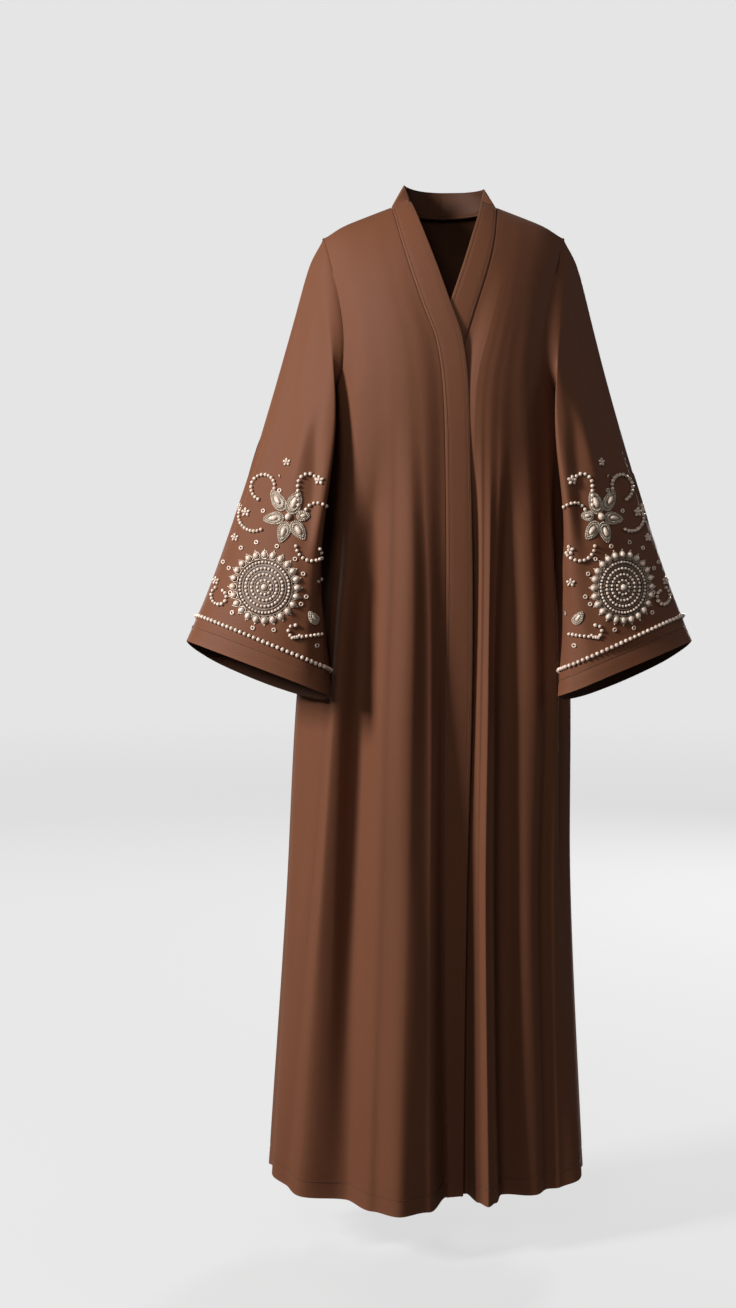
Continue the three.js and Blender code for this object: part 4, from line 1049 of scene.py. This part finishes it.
def grown(name, source, kind, values, finish):
    # runs a tree on its paths and keeps the result as a plain mesh
    tree, ids = trees[kind]
    run = source.modifiers.new("run", "NODES")
    run.node_group = tree
    for label, value in values.items():
        run[ids[label]] = value
    run[ids["Material"]] = finish
    source.update_tag()
    bpy.context.view_layer.update()
    seen = source.evaluated_get(bpy.context.evaluated_depsgraph_get())
    mesh = bpy.data.meshes.new_from_object(seen)
    bpy.data.objects.remove(source)
    mesh.name = name
    obj = bpy.data.objects.new(name, mesh)
    bpy.context.scene.collection.objects.link(obj)
    if not mesh.materials:
        mesh.materials.append(finish)
    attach(obj, "root")
    return obj


# millimetres from the middle of the round medallion, x away from the wearer's right, z up
beadwork = {
    "medallion": (-247, -530),
    # radius, count and size of the beads
    "rings": [(9.6, 11, 2.0), (17.6, 21, 2.05), (25.6, 31, 2.05), (34.2, 46, 1.9)],
    "middleStone": 4.6, "groundReach": 39.2,
    "cords": [6.3, 13.6, 21.6, 29.9, 38.2], "cordRadius": 0.0006,
    "petals": {"count": 24, "at": 44.6, "long": 4.5, "wide": 3.7},
    "tips": {"count": 24, "at": 51.3, "radius": 0.85},
    "flowerAt": (33, 96), "flowerStone": (5.2, 4.4),
    # direction, reach of its middle, half length, half width
    "flowerPetals": [(68, 21, 16, 9), (124, 27, 15.5, 8.2), (186, 21, 14, 7.6), (252, 22, 14, 8),
                     (306, 23, 14, 8), (4, 20, 8.5, 6.2)],
    "scrollRadius": 2.6, "scrollPitch": 6.2,
    # middle, radius at the start and at the end, direction at the start, sweep
    "scrolls": [(-2, 137, 15.5, 19, 350, 255), (61, 141, 15.5, 12.5, 190, -165),
                (72, 97, 18, 17.5, 150, -262), (66, 57, 23, 19, 182, 135), (-17, 99, 24, 20, 300, -135),
                (-63, -14, 9, 13, 60, -300), (41, -58, 7.5, 9.5, 80, 235)],
    "stems": [(46, 112, 45.5, 138), (38, -67.5, 96, -62)],
    # middle, size of the blossom
    "blossoms": [(30, 171, 2.5), (75, 146, 2.9), (79, 51, 3.1), (-28, 102, 2.8), (-43, 67, 2.5),
                 (76, 7, 2.5), (-70, 7, 2.6), (-37, 110, 1.9), (90, 12, 1.7)],
    "circles": [(-12, 61), (-34, 53), (17, 56), (42, 39), (53, 19), (57, -12), (-60, 33), (-51, 25),
                (-45, -35), (-16, -55), (13, -57), (84, -7), (83, -18), (71, -79), (81, -78),
                (-3, 104), (91, 63), (20, 132), (50, -22), (-48, -8)],
    "leaves": [(66, -41, 122, 9.5, 5.2), (88, -33, 62, 9.0, 5.0), (20, 152, 118, 4.5, 1.6)],
    "lineBead": 3.0, "linePitch": 7.3,
}


def sleeveFinder(side):
    mesh = sleevePieces[side].data
    points = [v.co.copy() for v in mesh.vertices]
    half = len(points) // 2
    faces = [tuple(p.vertices) for p in mesh.polygons if max(p.vertices) < half]
    tree = BVHTree.FromPolygons(points, faces)

    def find(dx, dz, lift):
        x = beadwork["medallion"][0] + dx
        z = (beadwork["medallion"][1] + dz) * 0.001
        x = x * 0.001 if side == "Right" else float(leftX(np.float64(x))) * 0.001
        hit, normal, _, _ = tree.ray_cast(Vector((x, -1.0, z)), Vector((0, 1, 0)))
        if hit is None:
            return None
        if normal.y > 0:
            normal = -normal
        if normal.y > -0.22:
            return None  # too near the turn of the sleeve
        return hit + normal * (lift * 0.001)

    return find


def spiral(scroll):
    x, z, first, last, start, sweep = scroll
    line = []
    for k in range(41):
        t = k / 40
        a = math.radians(start + sweep * t)
        radius = first + (last - first) * t
        line.append((x + radius * math.cos(a), z + radius * math.sin(a)))
    return line


def laid(find, line, lift):
    # the longest run of the line that lies on the front of the sleeve
    runs = [[]]
    for x, z in line:
        p = find(x, z, lift)
        if p is None:
            runs.append([])
        else:
            runs[-1].append(p)
    return max(runs, key=len)


def circleLine(x, z, radius, count):
    return [(x + radius * math.cos(2 * math.pi * k / count), z + radius * math.sin(2 * math.pi * k / count))
            for k in range(count)]


def petalLine(middle, petal, share, count):
    turn, reach, long, wide = petal
    a = math.radians(turn)
    line = []
    for k in range(count):
        t = 2 * math.pi * k / count
        along = math.cos(t) * long * share
        thin = math.sin(t) * wide * share * (1 - 0.32 * math.cos(t)) * abs(math.sin(t)) ** 0.12
        x = middle[0] + (reach + along) * math.cos(a) - thin * math.sin(a)
        z = middle[1] + (reach + along) * math.sin(a) + thin * math.cos(a)
        line.append((x, z))
    return line


def padMesh(name, find, outlines, high, finish):
    # low domed pads inside closed outlines, closed below
    points, faces = [], []
    for middle, lines in outlines:
        first = len(points)
        count = len(lines[0])
        levels = [(lines[k], high * math.sqrt(max(0, 1 - (k / (len(lines) - 1)) ** 2)) + 0.25)
                  for k in range(1, len(lines))]
        top = find(*middle, high + 0.25)
        under = find(*middle, 0.15)
        if top is None:
            continue
        points += [tuple(top), tuple(under)]
        rings = []
        for line, lift in levels + [(lines[-1], 0.15)]:
            placed = [find(x, z, lift) for x, z in line]
            if any(p is None for p in placed):
                rings = []
                break
            rings.append(len(points))
            points += [tuple(p) for p in placed]
        if not rings:
            del points[first:]
            continue
        for k in range(count):
            n = (k + 1) % count
            faces.append((first, rings[0] + k, rings[0] + n))
            faces.append((first + 1, rings[-1] + n, rings[-1] + k))
            for a, b in zip(rings[:-1], rings[1:]):
                faces.append((a + k, b + k, b + n, a + n))
    obj = meshObject(name, points, faces)
    if name.endswith("Left"):
        obj.data.flip_normals()
    obj.data.materials.append(finish)
    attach(obj, "root")
    return obj


def outlineSet(middle, lineAt, count):
    return middle, [lineAt(k / count) for k in range(count + 1)]


def stoneMesh(name, stones):
    mesh = bpy.data.meshes.new(name)
    mesh.from_pydata([tuple(s[0]) for s in stones], [], [])
    aim = mesh.attributes.new("aim", "FLOAT_VECTOR", "POINT")
    aim.data.foreach_set("vector", [v for s in stones for v in s[1]])
    size = mesh.attributes.new("size", "FLOAT_VECTOR", "POINT")
    size.data.foreach_set("vector", [v for s in stones for v in s[2]])
    obj = bpy.data.objects.new(name, mesh)
    bpy.context.scene.collection.objects.link(obj)
    return obj


def ovalStone(find, x, z, turn, long, wide, lift):
    a = math.radians(turn)
    here = find(x, z, lift)
    ahead = find(x + math.cos(a), z + math.sin(a), lift)
    if here is None or ahead is None:
        return None
    return here, (ahead - here).normalized(), (long * 0.001, wide * 0.001, wide * 0.001)


def around(radius, turn):
    a = math.radians(turn)
    return radius * math.cos(a), radius * math.sin(a)


def medallionStones(find):
    stones = []
    for radius, count, size in beadwork["rings"]:
        for k in range(count):
            turn = 360 * (k + (0.5 if count % 2 else 0)) / count
            stones.append(ovalStone(find, *around(radius, turn), turn, size, size, 1.9))
    size = beadwork["middleStone"]
    stones.append(ovalStone(find, 0, 0, 0, size, size, 1.9))
    petals, tips = beadwork["petals"], beadwork["tips"]
    for k in range(petals["count"]):
        turn = 360 * k / petals["count"]
        stones.append(ovalStone(find, *around(petals["at"], turn), turn, petals["long"], petals["wide"], 1.6))
    for k in range(tips["count"]):
        turn = 360 * k / tips["count"]
        x, z = around(tips["at"], turn)
        stones.append(ovalStone(find, x, z, turn, tips["radius"] * 1.3, tips["radius"], 0.9))
    return stones


def flowerStones(find):
    # the cores of the petals, then the blossoms and the leaves
    stones = []
    middle = beadwork["flowerAt"]
    for turn, reach, long, wide in beadwork["flowerPetals"]:
        dx, dz = around(reach, turn)
        stones.append(ovalStone(find, middle[0] + dx, middle[1] + dz, turn, long * 0.48, wide * 0.42, 2.6))
    stones.append(ovalStone(find, *middle, 68, *beadwork["flowerStone"], 2.8))
    for x, z, size in beadwork["blossoms"]:
        for k in range(5):
            turn = 90 + 72 * k
            dx, dz = around(1.45 * size, turn)
            stones.append(ovalStone(find, x + dx, z + dz, turn, size, size * 0.78, 1.3))
        stones.append(ovalStone(find, x, z, 0, size * 0.7, size * 0.7, 1.9))
    for x, z, turn, long, wide in beadwork["leaves"]:
        stones.append(ovalStone(find, x, z, turn, long * 0.62, wide * 0.5, 1.9))
    return stones


def medallion(side, find):
    # its ground of thread and the cords between the rings
    reach = beadwork["groundReach"]
    ground = padMesh("medallionGround" + side, find,
                     [outlineSet((0, 0), lambda s: circleLine(0, 0, reach * s, 64), 6)], 0.9, groundThread)
    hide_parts("medallion_" + side.lower())
    cords = [laid(find, circleLine(0, 0, r, 72), 1.6) for r in beadwork["cords"]]
    grown("medallionCords" + side, pathMesh("paths", cords, [True] * len(cords)), "cord",
          {"Radius": beadwork["cordRadius"]}, cordThread)


def flower(side, find):
    # pads and beaded outlines of the petals and of the two large leaves
    middle = beadwork["flowerAt"]
    leafPetals = [((x, z), (turn, 0, long, wide)) for x, z, turn, long, wide in beadwork["leaves"][:2]]
    shapes = [(middle, petal) for petal in beadwork["flowerPetals"]] + leafPetals
    outlines = []
    for origin, petal in shapes:
        dx, dz = around(petal[1], petal[0])
        core = (origin[0] + dx, origin[1] + dz)
        outlines.append(outlineSet(core, lambda s, o=origin, p=petal: petalLine(o, p, s, 28), 4))
    pads = padMesh("flowerPads" + side, find, outlines, 1.7, cordThread)
    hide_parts("flower_" + side.lower())
    rims = [laid(find, petalLine(o, p, share, 48), lift) for o, p in shapes
            for share, lift in ((1.0, 1.0), (0.72, 1.9))]
    grown("flowerRims" + side, pathMesh("paths", rims, [True] * len(rims)), "bead",
          {"Radius": 0.00125, "Pitch": 0.0025, "Uneven": 0.1, "Seed": 7}, greyBead)


def medallionRims(side, find):
    # a cord round each petal at the medallion's edge
    petals = beadwork["petals"]
    rims = []
    for k in range(petals["count"]):
        petal = (360 * k / petals["count"], petals["at"], petals["long"] + 1.1, petals["wide"] + 0.9)
        rims.append(laid(find, petalLine((0, 0), petal, 1, 20), 0.8))
    grown("medallionRims" + side, pathMesh("paths", rims, [True] * len(rims)), "cord",
          {"Radius": beadwork["cordRadius"]}, greyBead)


def scrolls(side, find):
    # scrolls and stems of round beads, and the small rings among them
    lines = [laid(find, spiral(s), 2.0) for s in beadwork["scrolls"]]
    for x0, z0, x1, z1 in beadwork["stems"]:
        line = [(x0 + (x1 - x0) * k / 12, z0 + (z1 - z0) * k / 12) for k in range(13)]
        lines.append(laid(find, line, 2.0))
    lines = [line for line in lines if len(line) > 2]
    grown("scrollBeads" + side, pathMesh("paths", lines, [False] * len(lines)), "bead",
          {"Radius": beadwork["scrollRadius"] * 0.001, "Pitch": beadwork["scrollPitch"] * 0.001,
           "Uneven": 0.1, "Seed": 11}, ivoryBead)
    circles = [laid(find, circleLine(x, z, 2.3, 12), 0.9) for x, z in beadwork["circles"]]
    circles = [c for c in circles if len(c) == 12]
    grown("ringBeads" + side, pathMesh("paths", circles, [True] * len(circles)), "cord",
          {"Radius": 0.00095}, ivoryBead)


def cuffLine(side):
    # the row of large beads round the cuff
    grid = sleeveGrids[side]
    normal, _ = gridNormals(grid, grid.mean(axis=1, keepdims=True), True)
    row = sleeveCloth["rows"]
    step = (grid[row + 1] - grid[row]) * 0.9
    ring = (grid[row] + step + normal[row] * 2.4) * 0.001
    line = grown("cuffBeads" + side, pathMesh("paths", [ring], [True]), "bead",
                 {"Radius": beadwork["lineBead"] * 0.001, "Pitch": beadwork["linePitch"] * 0.001,
                  "Length": 1.0, "Uneven": 0.05, "Seed": 19}, ivoryBead)
    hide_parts("trim_" + side.lower())


def sleeveBeads(side):
    find = sleeveFinder(side)
    medallion(side, find)
    stones = [s for s in medallionStones(find) + flowerStones(find) if s]
    grown("ivoryStones" + side, stoneMesh("stones", stones), "stone", {"Plumpness": 1.0}, ivoryBead)
    flower(side, find)
    medallionRims(side, find)
    scrolls(side, find)
    cuffLine(side)


for side in ("Right", "Left"):
    sleeveBeads(side)
print("beadwork made")


stitching = {"radius": 0.00042, "pitch": 0.0036, "stitch": 0.0026, "lift": 0.25}


def stitchRun(name, lines, closed):
    return grown(name, pathMesh("paths", lines, closed), "stitch",
                 {"Radius": stitching["radius"], "Pitch": stitching["pitch"], "Stitch": stitching["stitch"]},
                 sewingThread)


def gridLine(grid, normal, index):
    return (grid[:, index] + normal[:, index] * stitching["lift"]) * 0.001


for name, grid in (("bandRightStitches", bandRightGrid), ("bandLeftStitches", bandLeftGrid)):
    normal, _ = gridNormals(grid, np.concatenate([axisOf(grid)[..., :2], np.minimum(grid[..., 2:], 20)], -1))
    stitchRun(name, [gridLine(grid, normal, 4), gridLine(grid, normal, 12)], [False, False])


def levelLine(grid, normal, above, ring):
    # a line at a set distance above the lower edge
    down = lengthsOf(grid, ring)[1][:, :grid.shape[1]]
    gap = down[-1:] - down
    points = []
    for c in range(grid.shape[1]):
        at = np.interp(above, gap[::-1, c], np.arange(len(grid))[::-1])
        r = min(len(grid) - 2, int(at))
        t = at - r
        points.append(grid[r, c] * (1 - t) + grid[r + 1, c] * t + normal[r, c] * stitching["lift"])
    return np.array(points) * 0.001


hems = []
for grid in (backGrid, rightGrid, leftGrid):
    hems.append(levelLine(grid, gridNormals(grid, axisOf(grid))[0], turnUps["hem"], False))
stitchRun("hemStitches", hems, [False] * 3)
cuffs = []
for grid in sleeveGrids.values():
    normal, _ = gridNormals(grid, grid.mean(axis=1, keepdims=True), True)
    cuffs.append(levelLine(grid, normal, turnUps["cuff"], True))
stitchRun("cuffStitches", cuffs, [True] * 2)
print("stitching made")


def cutSize(grid, ring=False):
    # what a piece was cut to: its widest, its longest and its area
    u, v = lengthsOf(grid, ring)
    wide = float((u[:, -1] - u[:, 0]).max()) * 0.001
    long = float((v[-1] - v[0]).max()) * 0.001
    closed = np.concatenate([grid, grid[:, :1]], 1) if ring else grid
    across = np.diff(closed, axis=1)[:-1]
    down = np.diff(closed, axis=0)[:, :-1]
    area = float(np.linalg.norm(np.cross(across, down), axis=-1).sum()) * 1e-6
    return round(wide, 3), round(long, 3), round(area, 4)


sheets = [(backPiece, backGrid, False, ["frontRightCloth", "frontLeftCloth"]),
          (rightPiece, rightGrid, False, ["backCloth"]),
          (leftPiece, leftGrid, False, ["backCloth"]),
          (bandRightPiece, bandRightGrid, False, ["frontRightCloth"]),
          (bandLeftPiece, bandLeftGrid, False, ["frontLeftCloth"]),
          (sleevePieces["Right"], sleeveGrids["Right"], True, ["frontRightCloth", "backCloth"]),
          (sleevePieces["Left"], sleeveGrids["Left"], True, ["frontLeftCloth", "backCloth"])]
for piece, grid, ring, carriers in sheets:
    wide, long, area = cutSize(grid, ring)
    print(piece.name, "cut", wide, long, area)
    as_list(carriers)


studio = {"floorLevel": -1.49, "floorReach": 40, "grey": 0.12, "shownNear": 0.62, "shownFar": 0.783,
          "paper": (1.5, 7.0), "world": 0.03,
          # name, place, what it points at, size, power
          "lights": [("keyLight", (-3.0, -1.5, 1.1), (-0.05, 0, -0.6), (0.7, 1.0), 212),
                     ("frontLight", (-0.9, -3.1, 1.3), (0, 0, -0.4), (1.0, 1.0), 31),
                     ("fillLight", (2.6, -2.4, 0.2), (0, 0, -0.7), (1.6, 2.2), 2),
                     ("sideLight", (3.3, 0.2, 0.6), (0, 0, -0.6), (1.2, 1.6), 12),
                     ("backKeyLight", (1.4, 3.3, 0.3), (0, 0, -0.7), (0.8, 1.0), 125),
                     ("backLight", (-1.8, 3.2, 0.2), (0, 0, -0.7), (1.4, 1.4), 34)],
          "camera": {"place": (-0.106, -2.8, -0.410), "pitch": 85.5, "lens": 54.06, "sensor": 36}}


def paperFinish():
    # the paper is seen pale from every side, and throws little light back up into the folds
    finish, tree, shader = newFinish("studioPaper")
    place = node(tree, "ShaderNodeTexCoord")
    away = node(tree, "ShaderNodeVectorMath")
    away.operation = "LENGTH"
    far = node(tree, "ShaderNodeMapRange")
    far.inputs["From Min"].default_value, far.inputs["From Max"].default_value = studio["paper"]
    ray = node(tree, "ShaderNodeLightPath")
    tree.links.new(place.outputs["Object"], away.inputs[0])
    tree.links.new(away.outputs["Value"], far.inputs["Value"])
    grey = mixColour(tree, far.outputs[0], (studio["grey"],) * 3, (0, 0, 0))
    shown = mixColour(tree, far.outputs[0], (studio["shownNear"],) * 3, (studio["shownFar"],) * 3)
    tree.links.new(grey, shader.inputs["Base Color"])
    tree.links.new(shown, shader.inputs["Emission Color"])
    tree.links.new(ray.outputs["Is Camera Ray"], shader.inputs["Emission Strength"])
    shader.inputs["Roughness"].default_value = 0.9
    shader.inputs["Specular IOR Level"].default_value = 0.1
    return finish


def makeFloor():
    reach, level = studio["floorReach"], studio["floorLevel"]
    points = [(-reach, -reach, level), (reach, -reach, level), (reach, reach, level), (-reach, reach, level)]
    obj = meshObject("studioFloor", points, [(0, 1, 2, 3)])
    obj.data.materials.append(paperFinish())


def addLight(name, place, target, size, power):
    light = bpy.data.lights.new(name, "AREA")
    light.shape = "RECTANGLE"
    light.size, light.size_y = size
    light.energy = power
    obj = bpy.data.objects.new(name, light)
    obj.location = place
    obj.rotation_euler = (Vector(target) - Vector(place)).to_track_quat("-Z", "Y").to_euler()
    bpy.context.scene.collection.objects.link(obj)


makeFloor()
for row in studio["lights"]:
    addLight(*row)
world = bpy.data.worlds.new("studioWorld")
world.use_nodes = True
sky = world.node_tree.nodes["Background"]
sky.inputs[0].default_value = (1, 1, 1, 1)
skyRay = node(world.node_tree, "ShaderNodeLightPath")
skyShare = node(world.node_tree, "ShaderNodeMapRange")
skyShare.inputs["To Min"].default_value = studio["world"]
skyShare.inputs["To Max"].default_value = studio["shownFar"]
world.node_tree.links.new(skyRay.outputs["Is Camera Ray"], skyShare.inputs["Value"])
world.node_tree.links.new(skyShare.outputs[0], sky.inputs[1])
bpy.context.scene.world = world
bpy.context.scene.view_settings.view_transform = "Standard"

view = studio["camera"]
camera = bpy.data.cameras.new("viewCamera")
camera.sensor_width = view["sensor"]
camera.lens = view["lens"]
cameraObject = bpy.data.objects.new("viewCamera", camera)
cameraObject.location = view["place"]
cameraObject.rotation_euler = (math.radians(view["pitch"]), 0, 0)
bpy.context.scene.collection.objects.link(cameraObject)
bpy.context.scene.camera = cameraObject
print("studio made")
